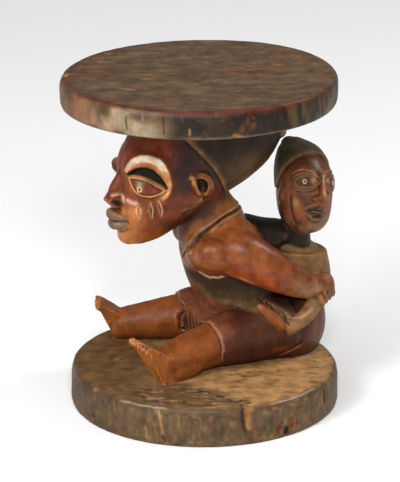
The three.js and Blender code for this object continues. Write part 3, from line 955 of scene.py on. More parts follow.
@dataclass
class Discs:
    """The round seat and the round base."""

    seat_centre: Point = (-1.5, -5.0)
    seat_tilt: float = 0.018
    seat_flat: float = 62.0
    seat_dish: float = 1.2
    base_tilt: float = -0.01
    base_flat: float = 30.0
    wobble: float = 0.9
    worn: tuple[Point, ...] = (
        (98.6, -104), (80.7, -81), (82, -50), (102, -26), (133, -9), (166, 4), (160, -45), (146, -81), (124, -100),
    )

    def bend(self, centre: Point, tilt: float, flat: float, phase: float) -> Callable[[Array], Array]:
        """Gives a disc its hand-cut rim and the lean of its faces.

        Args:
            centre: Its middle, across and along.
            tilt: How its upper face rises towards the mother's back.
            flat: The radius of its level middle.
            phase: Where its rim swells.

        Returns:
            A function that moves the disc's points.
        """

        def moved(points: Array) -> Array:
            x, y, z = points.T
            radius = np.hypot(x, y)
            turn = np.arctan2(y, x)
            share = smoothstep(flat, flat + 60.0, radius)
            stray = self.wobble * share * (np.sin(2 * turn + phase) + 0.6 * np.sin(3 * turn + 2 * phase))
            grown = 1.0 + stray / np.maximum(radius, 1e-6)
            rise = np.where(z > 0, tilt * y * share, 0.0)
            return np.column_stack([x * grown + centre[0] - FIGURE_X, y * grown + centre[1], z + rise])

        return moved

    def build(self, clay: Clay) -> None:
        """Adds both discs to the clay."""
        low, high, rim = HEIGHT - SEAT_THICKNESS, HEIGHT, SEAT_RADIUS
        seat = [
            (0.0, low), (rim - 4, low), (rim - 2, low + 0.6), (rim - 0.8, low + 2.4), (rim - 0.3, low + 7),
            (rim, high - 11), (rim - 0.8, high - 5.5), (rim - 3, high - 1.6), (rim - 7, high),
            (100.0, high - 0.7), (self.seat_flat, high - self.seat_dish), (0.0, high - self.seat_dish),
        ]
        clay.lathe(Part.SEAT, seat, self.bend(self.seat_centre, self.seat_tilt, self.seat_flat, 0.8))
        high, rim = BASE_THICKNESS, BASE_RADIUS
        base = [
            (0.0, 0.0), (rim - 2, 0.0), (rim, 5.0), (rim - 0.5, high - 10), (rim - 1.4, high - 5),
            (rim - 3, high - 2), (rim - 6, high), (self.base_flat, high), (0.0, high),
        ]
        clay.lathe(Part.BASE, base, self.bend((0.0, 0.0), self.base_tilt, self.base_flat, 2.1))

    def marks(self) -> list[Mark]:
        """Cracks, chips and worn spots of the seat and the base, and painted highlights along the base's rim."""
        marks: list[Mark] = [
            Stroke(((119.6, -118.6, 361), (120.1, -118.4, 350.7), (121, -118, 342.5)), 0.9, -1.2, "#1c120b", 0.85),
            Stroke(((147.5, -88.2, 364), (147.8, -87.6, 352), (147.4, -87.4, 342.5)), 0.9, -1.2, "#1c120b", 0.85),
            Stroke(((132.4, -104.9, 364.3), (134.5, -105.1, 355.5)), 0.9, -0.5, "#a08a70", 0.7),
            Stroke(((162.4, -65, 352.6), (161.4, -64.5, 343)), 1.0, -0.5, "#8f6a48", 0.8),
            Stroke(((106.4, 117.2, 367), (109, 116.2, 356), (111.6, 114.8, 345)), 1.0, -1.6, "#120b07", 0.9),
            Patch((173.3, -18.4, 342.5), (6, 6, 3.4), -1.6, "#8d6238", 0.85, 0.3),
            Patch((-31, -138.5, 368), (8.5, 6, 5), -1.8, "#a8763e", 0.9, 0.3),
            Stroke(((162.8, -5.6, 43.1), (172.6, -7.4, 42.4), (175, -9.4, 36), (175.6, -7.8, 24.7), (175.9, -6.6, 8)),
                   1.5, -4.0, "#0f0906", 0.95),
            Stroke(((165, 0, 43), (173.4, -2.6, 40), (174.6, -4, 30), (175.4, -4.4, 16)), 3.6, -2.2, "#95602f", 0.75),
            Patch((171.8, 33, 11.5), (6, 4, 6), -2.6, "#7c3f1c", 0.8, 0.5),
            Patch((165.4, 50.5, 15), (6, 6, 9), -3.4, "#8c4c20", 0.85, 0.5),
            Patch((169, 43, 6), (6, 3.5, 6), -3.4, "#1a0e08", 0.9, 0.4),
            Stroke(((136.3, 97.6, 36.5), (136.4, 98.4, 27), (136.2, 99.3, 18)), 1.7, -3.2, "#150b06", 0.95),
            Stroke(((133.6, 101, 33), (133.8, 102, 22)), 1.2, -1.0, "#7a4c28", 0.7),
            Stroke(((69.6, -141.6, 16), (72, -141.1, 6)), 1.2, -2.0, "#140a06", 0.9),
            Stroke(((141.8, -93.4, 41), (142.3, -92.8, 37.9), (145.3, -91.3, 23.6), (147.2, -89.4, 4)), 1.7, -0.9, "#a5794c", 0.75),
            Stroke(((146.8, -90.6, 12), (148.4, -88, 3)), 1.4, -1.6, "#17100a", 0.8),
            Stroke(((132.9, -105, 20), (134.4, -103.6, 4)), 1.5, -0.9, "#a07a4e", 0.7),
            Stroke(((98.5, -129.1, 38), (102.3, -127.6, 28.9)), 0.9, -0.4, "#8f7a5c", 0.6),
            Patch((69.7, -139.2, 41.5), (5, 4, 3.4), -1.5, "#8a6844", 0.7, 0.3),
            Patch((59.2, 140, 41.5), (4, 5, 3.5), -2.2, "#2a1d12", 0.7, 0.4),
            Patch((-5.8, -84, 43.5), (3.4, 2.4, 3), -2.6, "#0a0503", 0.95),
            Patch((-2, -88, 43.5), (9, 6, 3), -0.7, "#8a6a48", 0.5, 0.6),
            Patch((70.4, 118, 43), (2, 2, 3), -1.6, "#0a0503", 0.9),
            Stroke(((74.9, -126.9, 44.3), (91.5, -118, 44.2)), 1.5, 0.0, "#a8825a", 0.6),
            # Painted highlights: thin pale lines along the base's top rim stand in for the light that its polished edge
            # catches.
            Stroke(((103.7, -125.2, 41.4), (121.9, -112.3, 41.6), (135.1, -100, 41.6), (148.6, -81.8, 42)),
                   0.7, 0.3, "#b0a28a", 0.6),
            Stroke(((172.3, 15, 42), (166.4, 41.3, 42), (155.7, 66.2, 42), (140.6, 89.8, 42)), 0.7, 0.3, "#b0a28a", 0.6),
        ]
        for x, y, length in (
            (-63, -87, 4), (-89, -69, 5), (-36, -54, 3), (5, -57, 8), (21, -65, 7), (12, -31, 5), (50, -99, 4), (57, -92, 5),
            (12, 57, 4), (21, 86, 5), (-44, 82, 4), (60, -20, 3), (-20, 20, 4), (40, 40, 3),
        ):
            ends = ((x - 0.34 * length, y - 0.94 * length, 368.8), (x + 0.34 * length, y + 0.94 * length, 369.2))
            marks.append(Stroke(ends, 1.4, -0.3, "#a06a3a", 0.6))
        return marks

    def zones(self, skin: Skin) -> tuple[Array, Array, Array]:
        """Tells the discs' walls and tops from the rest, and turns places to run along the top's grain."""
        disc = np.isin(skin.parts, (int(Part.SEAT), int(Part.BASE))).astype(float)
        wall = disc * (1.0 - smoothstep(0.4, 0.8, np.abs(skin.normals[:, 2])))
        level = disc * smoothstep(0.55, 0.95, skin.normals[:, 2])
        grain = np.array(((0.342, 0.94, 0.0), (0.94, -0.342, 0.0), (0.0, 0.0, 1.0)))
        return wall, level, skin.coords @ grain.T

    def rotten(self, skin: Skin, level: Array) -> Array:
        """How rough the base's top has become at each point."""
        rough = np.zeros(len(level))
        near = (level > 0) & (skin.coords[:, 2] < 60)
        places = skin.coords[near][:, :2]
        outline = flat_curve(self.worn, 48, True)
        gap = to_line(places, outline)[0] * np.where(within(places, outline), 1.0, -1.0)
        rough[near] = smoothstep(-5.0, 9.0, gap + 6.0 * noise(skin.coords[near], 14.0, 17))
        return rough * level

    def carve(self, skin: Skin) -> None:
        """Cuts the tool marks and the ground that damp and wear have roughened."""
        wall, level, lying = self.zones(skin)
        coords = skin.coords
        amount = wall * (0.4 * noise(coords, (11, 11, 34), 3) + 0.22 * noise(coords, (3.4, 3.4, 15), 4))
        amount += level * (0.7 * noise(lying, (64, 30, 40), 5) + 0.22 * noise(lying, (24, 4, 9), 6))
        rough = self.rotten(skin, level)
        pits = smoothstep(-0.05, 0.6, noise(lying, (15, 3.6, 9), 7) + 0.5 * noise(lying, (6, 3, 5), 8))
        amount -= rough * (0.7 + 2.4 * pits)
        skin.push(amount)
        carve_marks(skin, self.marks())

    def colour(self, paint: Paint) -> None:
        """Stains the discs with smoke, dust and handling, paints a sheen on the seat's wall as a highlight, and darkens
        the seat's rim partly as a painted reflection.
        """
        skin = paint.skin
        wall, level, lying = self.zones(skin)
        disc = np.isin(skin.parts, (int(Part.SEAT), int(Part.BASE)))
        high = skin.coords[:, 2] > 200
        place, depth = lying[:, 0], lying[:, 1]
        broad, streak = noise(lying, (46, 22, 30), 11), noise(lying, (22, 4.5, 9), 12)
        speck = noise(lying, (7, 3, 5), 13)
        top = level * high
        paint.grain -= 0.85 * top
        paint.blend("#5d3a22", top * 0.45 * smoothstep(-0.1, 0.5, broad))
        paint.blend("#7b6b54", top * 0.16 * smoothstep(0.05, 0.55, streak - 0.4 * broad))
        paint.blend("#3a2c1e", top * 0.22 * smoothstep(0.1, 0.6, -streak - 0.2 * speck))
        top = level * ~high
        paint.blend("#9c7448", top * 0.9 * smoothstep(-90.0, 10.0, place + 30.0 * broad))
        paint.blend("#634522", top * 0.8 * smoothstep(-30.0, -90.0, place + 24.0 * broad))
        paint.blend("#4a341e", top * 0.35 * smoothstep(0.2, 0.6, streak + 0.3 * speck))
        paint.grain -= 0.8 * top
        dust = noise(lying, (3.2, 1.8, 3.0), 28)
        paint.blend("#c29a66", top * 0.35 * smoothstep(-20.0, 30.0, place) * smoothstep(0.1, 0.7, dust))
        pocks = noise(lying, (5.5, 2.2, 4.0), 18) + 0.5 * noise(lying, (26, 16, 20), 20)
        paint.blend("#33230f", top * 0.8 * smoothstep(-20.0, 40.0, place) * smoothstep(0.42, 0.72, pocks))
        rough = self.rotten(skin, level)
        paint.blend("#432f1d", 0.8 * rough, 0.1)
        pits = smoothstep(-0.05, 0.6, noise(lying, (15, 3.6, 9), 7) + 0.5 * noise(lying, (6, 3, 5), 8))
        paint.blend("#1c120c", 0.85 * rough * pits, 0.1)
        paint.blend("#a07c54", 0.6 * rough * smoothstep(0.2, 0.6, -noise(lying, (12, 2.4, 9), 19)), 0.1)
        paint.grain -= 0.8 * wall
        side = wall * high
        upright = noise(skin.coords, (4, 4, 18), 14)
        cloud = noise(skin.coords, (16, 16, 12), 15)
        dots = noise(skin.coords, (3.6, 3.6, 3.4), 16)
        paint.blend("#7a4426", side * 0.6 * smoothstep(-50.0, -110.0, place) * smoothstep(-0.3, 0.4, cloud))
        # Painted highlight: a pale, glossier band on the left of the seat's wall stands in for the sheen of the soft
        # light there.
        paint.blend("#96846a", side * 0.85 * bell(place + 68.0, 36.0) * smoothstep(-0.6, 0.5, cloud), 0.85)
        paint.blend("#160f07", side * 0.96 * smoothstep(-44.0, -8.0, place) * smoothstep(-1.6, -0.4, cloud))
        hem = bell(skin.coords[:, 2] - HEIGHT + SEAT_THICKNESS - 1.6, 1.2)
        paint.blend("#74644a", disc * high * 0.6 * hem * smoothstep(-30.0, 0.0, place))
        paint.blend("#7e4a26", side * 0.4 * smoothstep(0.45, 0.7, dots) * smoothstep(-0.2, 0.3, -cloud))
        paint.blend("#5a4a26", side * 0.7 * smoothstep(60.0, 120.0, place) * smoothstep(-0.4, 0.3, upright))
        side = wall * ~high
        fine = noise(skin.coords, (2.6, 2.6, 2.2), 24)
        paint.blend("#86693e", side * 0.45 * smoothstep(-0.1, 0.7, 0.5 * dots + fine))
        paint.blend("#38281a", side * 0.5 * smoothstep(0.1, 0.7, -cloud - 0.6 * fine))
        paint.blend("#3e2c1c", side * 0.45 * smoothstep(-50.0, -120.0, place))
        paint.blend("#8a4a24", side * 0.35 * smoothstep(0.45, 0.8, dots))
        radius = np.hypot(skin.coords[:, 0] + FIGURE_X, skin.coords[:, 1])
        # The seat's dark red rim line is its own wood colour and partly a painted dark reflection on the polished edge;
        # the base's rim line is its own colour.
        rims = ((high, SEAT_RADIUS, HEIGHT, "#4f1d12"), (~high, BASE_RADIUS, BASE_THICKNESS, "#4a3826"))
        for where, rim, height, tone in rims:
            edge = bell(np.hypot(radius - rim + 3.0, skin.coords[:, 2] - height + 1.5), 4.0)
            paint.blend(tone, disc * where * edge * 0.8, 0.8)
        del depth
        colour_marks(paint, self.marks())


@dataclass
class Mother:
    """The seated mother, from her feet to her hair."""

    heel_apart: float = 70.0
    knee_apart: float = 52.0
    foot_splay: float = math.radians(12.5)
    foot_width: float = 37.0
    heel_taper: float = 19.0
    heel_lean: float = 8.4
    foot_top: float = 91.0
    heel_y: float = -77.0
    hem_y: float = 0.0
    shoulder_apart: float = 40.0
    arm_apart: float = 60.0
    head_rows: tuple[tuple[float, ...], ...] = (
        (179, -77, -60, 8), (185, -86, -42, 18), (196, -89, -22, 26), (210, -89, 0, 32), (226, -89, 24, 36),
        (242, -88, 55, 39), (256, -87, 75.5, 41), (270, -85, 88, 42), (286, -80, 97, 43), (304, -71, 103.5, 43),
        (322, -60, 111, 43), (347, -50, 115, 42),
    )
    hair_line: tuple[Point, ...] = (
        (226, 32), (237.6, 22.8), (255.7, 12.4), (271.4, 2), (287.4, -11.7), (300.9, -24.2), (341, -54),
    )
    cord_line: tuple[Point, ...] = (
        (-40, 156), (-26, 165), (-19.7, 174.6), (-8, 187.4), (9, 197.6), (25.2, 206.4), (44.2, 210), (62, 212),
    )
    cloth_top: float = 146.0
    belt_line: tuple[Point, ...] = (
        (-10, 128), (-4, 126.3), (-0.5, 116.2), (11.2, 111), (28.4, 106.9), (40.3, 103.8), (60, 100),
    )

    def build(self, clay: Clay) -> None:
        """Adds the mother to the clay."""
        self.legs(clay)
        self.body(clay)
        self.head(clay)

    def legs(self, clay: Clay) -> None:
        """Adds the skirt, the shins and the feet."""
        hem, knee = self.hem_y, self.knee_apart
        hips = Limb(((0, 90, FLOOR - 8), (0, 91, 82), (0, 86, 126)), (58, 66, 40), (55, 58, 40), blunt=4)
        thigh = Limb(((34, 96, 80), (42, 45, 74), (knee, hem - 3, 71)), (36, 32, 28), (40, 32, 27), blunt=8)
        lap = Limb(
            ((0, 90, 84), (0, 45, 76), (0, hem - 3, 70)), (60, 52, 42), (36, 30, 25), blunt=9, square=3
        )
        clay.globe(Part.SKIRT, hips.shape, (64, 40))
        clay.globe(Part.SKIRT, thigh.shape, (56, 40), both=True)
        clay.globe(Part.SKIRT, lap.shape, (56, 40))
        heel = self.heel_apart
        shin = Limb(
            ((knee - 4, hem + 14, 71), (knee + 3, -22, 66), (heel - 3, -58, 61), (heel, -74, 59)),
            (25, 23, 19, 17), (25, 23, 19, 17), blunt=6,
        )
        clay.globe(Part.SHIN, shin.shape, (40, 28), both=True)
        flank = Limb(
            ((knee + 9, -20, 58), (heel + 3, -46, 52), (heel + 5, -66, 50)), (14, 12, 9), (14, 13, 12), blunt=6
        )
        clay.globe(Part.SHIN, flank.shape, (40, 28), both=True)
        top = self.foot_top
        outline = [
            (0, FLOOR - 2), (-15, top - 4), (-15.2, top - 2), (-13.8, top - 0.8), (-11, top - 1), (-5, top - 4.4),
            (1, top - 8.6), (5, top - 11.6), (11, top - 16.8), (17, top - 22), (30, FLOOR - 2),
        ]
        turn = turning(0, 0, self.foot_splay)
        spot = np.array((heel, self.heel_y, 0.0))
        clay.slab(Part.FOOT, outline, self.foot_width, (self.heel_taper, self.heel_lean), turn, spot)
        for index in range(5):
            x = -self.foot_width / 2 + 4.2 + index * 7.2
            size = 1.15 if index == 0 else 1.0 - 0.05 * index
            tip = np.array((x, -13.5 + 0.4 * index, top - 3.5 - 0.9 * index))
            toe = Ball(turn @ tip + spot, (3.6 * size, 4.4, 4.6 * size), (0.32, 0.0, self.foot_splay))
            clay.globe(Part.FOOT, toe.shape, (20, 14), both=True)

    def body(self, clay: Clay) -> None:
        """Adds the trunk, the breasts, the arms and the neck with its cord."""
        trunk = Limb(
            ((0, 56, 84), (0, 50, 120), (0, 36, 150), (0, 24, 180), (0, 20, 200)),
            (44, 43, 45, 42, 28), (56, 51, 48, 42, 24), blunt=5, square=2.2,
        )
        clay.globe(Part.TRUNK, trunk.shape, (64, 48))
        for side, flatter in ((1.0, 0.0), (-1.0, 5.0)):
            breast = Ball(
                (side * 26, 11 + 1.6 * flatter, 169), (24, 32 - flatter, 25), (-0.15, side * 0.2, 0.0)
            )
            clay.globe(Part.BREAST, breast.shape)
            clay.globe(Part.BREAST, Ball((side * 46, 9 + flatter, 172), (18, 25, 20.5)).shape)
        apart = self.arm_apart
        arm = Limb(
            (
                (self.shoulder_apart, 12, 180), (apart - 7, 45, 163), (apart, 72, 147),
                (apart - 4, 100, 130), (apart - 14, 124, 120), (apart - 20, 138, 117),
            ),
            (23, 22, 18, 14, 11, 8), (29, 26.5, 21.5, 16.5, 14, 13), blunt=5,
        )
        clay.globe(Part.ARM, arm.shape, (48, 48), both=True)
        nape = Limb(((16, 36, 196), (36, 44, 184), (50, 56, 168)), (17, 17, 14), (15, 15, 13))
        clay.globe(Part.ARM, nape.shape, (32, 24), both=True)
        palm = Ball((apart - 18, 137, 117), (11, 12, 17), (0, 0, 0.5))
        clay.globe(Part.HAND, palm.shape, both=True)
        for index in range(4):
            root = (apart - 1 - 5.5 * index, 124 + 6.2 * index, 115 + 1.5 * index)
            bend = (root[0] + 2.5, root[1] + 2, root[2] - 8)
            tip = (root[0] - 1, root[1] + 4, root[2] - 15)
            finger = Limb((root, bend, tip), (4.2, 4, 3.2), (4.2, 4, 3.2))
            clay.globe(Part.HAND, finger.shape, (16, 20), both=True)
        column = Limb(
            ((0, 22, 174), (0, 17, 192), (0, 8, 212), (0, -6, 242)), (32, 32, 26, 30), (38, 39, 34, 36), blunt=8
        )
        clay.globe(Part.NECK, column.shape, (56, 32))

    def skull(self, globe: Array) -> Array:
        """Carries a unit sphere's points onto the long egg of head and hair."""
        heights, fronts, backs, widths = zip(*self.head_rows)
        pole = globe[:, 2]
        share = (1.0 + pole) / 2.0
        front, back = along(fronts, share), along(backs, share)
        ring = np.maximum(1.0 - np.abs(pole) ** 9, 0.0) ** (1.0 / 9.0)
        turn = np.arctan2(globe[:, 1], globe[:, 0])
        across, length = np.cos(turn), np.sin(turn)
        taper = 1.0 - 0.16 * np.maximum(length, 0.0) ** 2
        power = np.where(length < 0, 0.76, 0.86)
        x = ring * along(widths, share) * taper * np.sign(across) * np.abs(across) ** power
        y = (front + back) / 2 + ring * (back - front) / 2 * np.sign(length) * np.abs(length) ** power
        return np.column_stack([x, y, along(heights, share)])

    def head(self, clay: Clay) -> None:
        """Adds the head with her nose, lips, chin and ears."""
        clay.globe(Part.FACE, self.skull, (96, 80))
        nose = Limb(
            ((0, -80, 272), (0, -84, 258), (0, -91, 243), (0, -97, 232)), (6, 6, 8, 7.5), (4, 6, 7.5, 7)
        )
        clay.globe(Part.FACE, nose.shape)
        wing = Ball((9.5, -93, 231), (7, 9.5, 6.5), (0.25, 0, 0.15))
        clay.globe(Part.FACE, wing.shape, (32, 24), both=True)
        upper = Limb(
            ((-21, -80, 210), (-10, -93, 214), (0, -96.5, 214.5), (10, -93, 214), (21, -80, 210)),
            (3, 5.2, 5.6, 5.2, 3), (2, 4.6, 5.6, 4.6, 2), side=(0, 0, 1),
        )
        lower = Limb(
            ((-19, -80, 208), (-9, -92, 204), (0, -94.5, 203.5), (9, -92, 204), (19, -80, 208)),
            (3, 5, 5.8, 5, 3), (2, 4.6, 5.4, 4.6, 2), side=(0, 0, 1),
        )
        for lip in (upper, lower):
            clay.globe(Part.LIP, lip.shape, (28, 40))
        clay.globe(Part.FACE, Ball((0, -78, 189), (15, 11, 10)).shape)
        clay.globe(Part.FACE, Ball((0, -95.5, 232), (8.5, 7.8, 7.5)).shape)
        clay.globe(Part.FACE, Ball((-21, -78.5, 262.5), (8, 9.5, 10)).shape)
        clay.globe(Part.HAIR, Ball((8, 91, 293), (15, 9, 7.5)).shape)
        rim = Limb(
            ((39, -16.5, 258.5), (42, -9, 260.5), (44, -1.5, 256.5), (44, 0, 247), (41, -4.5, 237)),
            (2.6, 4, 5, 5, 3), (3, 4, 4.6, 4.6, 3),
        )
        front = Limb(((39, -17, 261), (41, -14, 247), (39, -8, 237)), (3, 3.4, 2.6), (3, 3.4, 2.6))
        jaw = Limb(((38, -6, 237), (34, -16, 229), (30, -27, 222)), (3.5, 4, 3), (3.5, 4, 3))
        for form in (rim, front, jaw):
            clay.globe(Part.EAR, form.shape, (24, 28), both=True)

    def face_marks(self) -> list[Mark]:
        """The mother's nose, lips, cheek marks, ears and hair, and painted shade under her jaw."""
        marks: list[Mark] = [
            Stroke(((4, -99, 236), (7.2, -95, 238.5), (9.5, -89.5, 237.2), (14.5, -86.5, 234.4), (17, -85.6, 229)),
                   1.6, 1.3, "#c59a7c", 0.75, True),
            Stroke(((9, -99, 232), (11.5, -98.6, 232.4), (15, -95.5, 231.6), (16.4, -91.4, 228.6), (14.5, -89, 225.8)),
                   2.0, -2.4, "#1c0a06", 0.95, True),
            Stroke(((0, -101, 220), (8, -99.5, 219.4), (14, -94, 217.8), (18, -88, 215)), 2.8, 0.0, "#9a6238", 0.8, True),
            Patch((13.5, -95.5, 231.2), (7, 7, 4.2), -2.0, "#1c0a06", 0.9, 0.0, True),
            Stroke(((16.8, -85, 235.4), (21, -81.8, 233.2), (25, -78, 232), (28, -74.6, 231.4)), 2.4, 1.0, "#c9a088", 0.75, True),
            Stroke(((0, -98, 209.4), (10, -94, 209.4), (17, -88.3, 209.6), (20.8, -82.6, 208.8)), 1.1, -2.0, "#17100c", 0.9, True),
            Stroke(((3, -100, 217.6), (11, -97, 217), (16, -91, 215.6), (20.5, -84, 211.8)), 0.9, 0.5, "#8d6c52", 0.7, True),
            Stroke(((0, -91, 196.6), (8, -89, 196.4), (15, -85.4, 199), (19.6, -82.4, 204)), 1.7, -1.0, "#3a1c10", 0.7, True),
            Patch((11, -95, 206.5), (7, 5, 1.6), 0.0, "#8c7f70", 0.5, 0.0, True),
            Stroke(((39.5, -19.7, 256.4), (41, -18, 259), (42, -15.4, 252), (42, -12.8, 245), (40.5, -9.4, 237.7)),
                   2.0, 1.4, "#d08a50", 0.92, True),
            Stroke(((41, -11.8, 261.5), (44, -6.8, 263), (46, -1.6, 259.4), (47, 1.6, 252.9), (46, 2.4, 246),
                    (43, 0, 240), (40, -3, 236.4)), 1.4, 0.7, "#7c4a2a", 0.7, True),
            Patch((42, -6.6, 250.3), (7, 6.4, 8.8), -3.2, "#1a120e", 0.85, 0.0, True),
            Patch((42, -1.8, 249.4), (7, 3, 6), 0.0, "#5c3220", 0.6, 0.0, True),
            Patch((42, -30, 279), (18, 15, 26), 0.0, "#22100a", 0.5, 0.5, True),
            Patch((-21, -84, 262.5), (9, 11, 12), 0.0, "#4a2214", 0.8),
            # Painted shade: a dark spot on the neck's side below the ear and jaw.
            Patch((26, -5, 213), (14, 17, 9), 0.0, "#2a150b", 0.6, 0.5, True),
            Stroke(((40, -2.5, 233.6), (38, -6, 231.7), (35, -11.7, 228.9), (32, -18.6, 225.2), (29.5, -26.7, 222.6)),
                   2.0, 1.6, "#d09a72", 0.92, True),
            Patch((31, -26.5, 221.8), (4, 3.4, 3.4), 0.9, "#c09070", 0.8, 0.0, True),
            # Painted shade: the groove under the jaw ridge and the broad band below it are darkened where the jaw's
            # shadow falls.
            Stroke(((40, 6, 229.4), (37, -4, 225), (34, -12, 221.6), (32, -20, 217.8), (29, -27, 215.6)),
                   2.3, -1.8, "#180b06", 0.92, True),
            Stroke(((40, 10, 224), (36, -8, 217), (32, -26, 209)), 7.0, 0.0, "#2a140b", 0.7, True),
        ]
        for axis in (
            ((27.6, -74.8, 233.6), (27.5, -74.9, 223.9), (27.8, -73.3, 213.6)),
            ((32.8, -63.5, 234.8), (32.4, -62.9, 225.2), (31.8, -61, 213.6)),
            ((35.3, -55.3, 236.9), (34.6, -53.4, 226.5), (32.8, -50, 215.4)),
        ):
            marks += [Stroke(tuple(map(tuple, edge)), 0.8, 0.8, "#cf9a70", 0.9, True) for edge in lens_outline(axis, 2.5)]
            marks.append(Stroke(axis, 1.1, -0.7, "#5a2a14", 0.5, True))
        return marks

    def body_marks(self) -> list[Mark]:
        """The mother's breasts, arms, hands, skirt, shins and feet, and painted shade under her forearms."""
        marks: list[Mark] = [
            Stroke(((26, -6, 146.4), (28.3, -2.5, 145.0), (32.9, 4, 142.2), (37.7, 10.8, 141.6), (42.1, 21.5, 144.3)),
                   1.0, 0.6, "#d0a184", 0.7, True),
            Stroke(((62.7, 28.9, 146.8), (65, 35.9, 143.7), (66.8, 43.6, 139.4)), 0.9, 0.4, "#c9a080", 0.7, True),
            Stroke(((16.8, -0.6, 83.8), (28, -1, 88), (40.5, -2.2, 91), (51.4, -0.4, 94), (65.8, 3, 87), (72, 5.1, 76.6),
                    (73, 5, 62), (70, 5, 50)), 1.0, 1.2, "#b07048", 0.7, True),
            Stroke(((24, -1, 86), (28, -4, 74), (30, -3, 60), (29, -1, 48)), 1.2, 1.2, "#a8663e", 0.7, True),
            Stroke(((29, -9, 86), (33, -12, 74), (34, -11, 60)), 1.2, 0.9, "#a8663e", 0.6, True),
            Stroke(((25, -6, 84), (30.5, -8, 72), (32, -7, 58)), 1.5, -1.6, "#2a120b", 0.8, True),
            Patch((-29.3, -3.4, 61.3), (3, 3, 2.6), -2.5, "#080403", 0.95),
            Stroke(((57.6, 74.7, 50.5), (61.8, 88.6, 57.4), (61.7, 104.7, 65)), 2.2, -1.5, "#240e09", 0.9),
            Stroke(((59, 76, 47.4), (63, 89, 53.4), (63.5, 102, 59.5)), 1.1, 0.3, "#a0605a", 0.6),
            Patch((66, 74, 60), (8, 9, 4), 0.0, "#8e2c1a", 0.6, 0.4),
        ]
        turn = turning(0, 0, self.foot_splay)
        for index in range(5):
            x = -self.foot_width / 2 + 4.2 + index * 7.2
            spot = turn @ np.array((x, -14.5 + 0.4 * index, 0.0)) + (self.heel_apart, self.heel_y, 0)
            nail = (float(spot[0]), float(spot[1]), self.foot_top + 2.4 - 1.3 * index)
            marks.append(Patch(nail, (3.4, 4.2, 4.0), -0.6, "#c08050", 0.6, 0.0, True))
            marks.append(Patch(nail, (2.0, 2.6, 3.0), -0.4, "#4a160c", 0.9, 0.0, True))
        for x in (-24, -12, 0, 12, 24):
            marks.append(Stroke(((x * 1.1, -6, 92), (x, -7, 72), (x * 0.9, -5, 50)), 1.7, -2.0, "#2c130b", 0.7))
        for index in range(3):
            x, y, z = self.arm_apart + 1 - 5.5 * index, 130 + 6.2 * index, 103 + 1.5 * index
            marks.append(Stroke(((x, y, z), (x + 2, y, z + 7), (x, y - 1, z + 13)), 1.1, -1.6, "#120905", 0.95, True))
        # Painted shade: a dark patch in the gap under the forearm, by the child's foot, where shade falls.
        marks.append(Patch((50, 86, 109), (15, 18, 11), 0.0, "#150b06", 0.85, 0.2, True))
        return marks

    def throat(self, skin: Skin) -> Array:
        """Tells which points the cord at the foot of the neck may cross."""
        x, y, z = skin.coords.T
        chest = np.isin(skin.parts, (int(Part.NECK), int(Part.TRUNK), int(Part.BREAST)))
        return chest & (np.abs(x) < 37) & (y < 60) & (z > 142)

    def collar(self, skin: Skin) -> Array:
        """How far points are above the cord, which hangs lower in front of the throat."""
        x, y, z = skin.coords.T
        hang = np.maximum(26.0 - np.abs(x), 0.0) * smoothstep(-6.0, -16.0, y)
        return past(y, z + hang, self.cord_line)

    def relabel(self, skin: Skin) -> None:
        """Draws the borders of hair, neck and cloth, which the clay leaves out."""
        x, y, z = skin.coords.T
        parts = skin.parts
        crown = np.isin(parts, (int(Part.FACE), int(Part.HAIR))) & (z > 226)
        parts[crown & (past(z, y, self.hair_line) > 0)] = Part.HAIR
        throat = self.throat(skin)
        above = self.collar(skin) > 0
        parts[throat & above] = Part.NECK
        parts[throat & ~above & (parts == Part.NECK)] = Part.TRUNK
        parts[(parts == Part.TRUNK) & (z < self.cloth_top)] = Part.CLOTH
        belly = np.isin(parts, (int(Part.CLOTH), int(Part.SKIRT))) & (y > -12) & (y < 62) & (z > 96)
        over = past(y, z, self.belt_line) > 0
        parts[belly & over] = Part.CLOTH
        parts[belly & ~over] = Part.SKIRT

    def carve(self, skin: Skin) -> None:
        """Cuts the hair's edge, the cord at the neck, the eyes and every other line of the figure."""
        x, y, z = skin.coords.T
        head = skin.blurred(np.isin(skin.parts, (int(Part.FACE), int(Part.HAIR))).astype(float), 2)
        hair = past(z, y, self.hair_line)
        amount = head * (z > 230) * (1.5 * smoothstep(-0.6, 0.9, hair) - 0.5 * bell(hair + 1.6, 1.2))
        throat = skin.blurred(self.throat(skin).astype(float), 2)
        cord = np.abs(self.collar(skin))
        amount += throat * (0.6 * bell(cord - 2.7, 1.0) - 1.5 * bell(cord, 1.3))
        figure = skin.blurred((~np.isin(skin.parts, (int(Part.SEAT), int(Part.BASE)))).astype(float), 2)
        amount += figure * 0.22 * noise(skin.coords, (6, 6, 30), 21)
        skin.push(amount)
        for side in (1.0, -1.0):
            EyeRelief(side).carve(skin)
        carve_marks(skin, self.face_marks() + self.body_marks())

    def colour(self, paint: Paint) -> None:
        """Darkens and polishes the mother where smoke and hands have; paints shade under her jaw and under her
        forearms, and the eyes' highlights and shade.
        """
        skin = paint.skin
        x, y, z = skin.coords.T
        face = skin.blurred((skin.parts == Part.FACE).astype(float), 2)
        paint.blend("#7c3418", face * 0.8 * smoothstep(262.0, 290.0, z))
        cloud = noise(skin.coords, (22, 22, 22), 23)
        dusk = smoothstep(-52.0, -26.0, y + 8.0 * cloud) * smoothstep(232.0, 250.0, z + 6.0 * cloud)
        paint.blend("#260f07", face * 0.88 * dusk)
        paint.blend("#ad6a34", face * 0.65 * smoothstep(-62.0, -82.0, y) * smoothstep(236.0, 222.0, z))
        paint.blend("#b0703c", face * 0.5 * smoothstep(200.0, 186.0, z) * smoothstep(-40.0, -66.0, y))
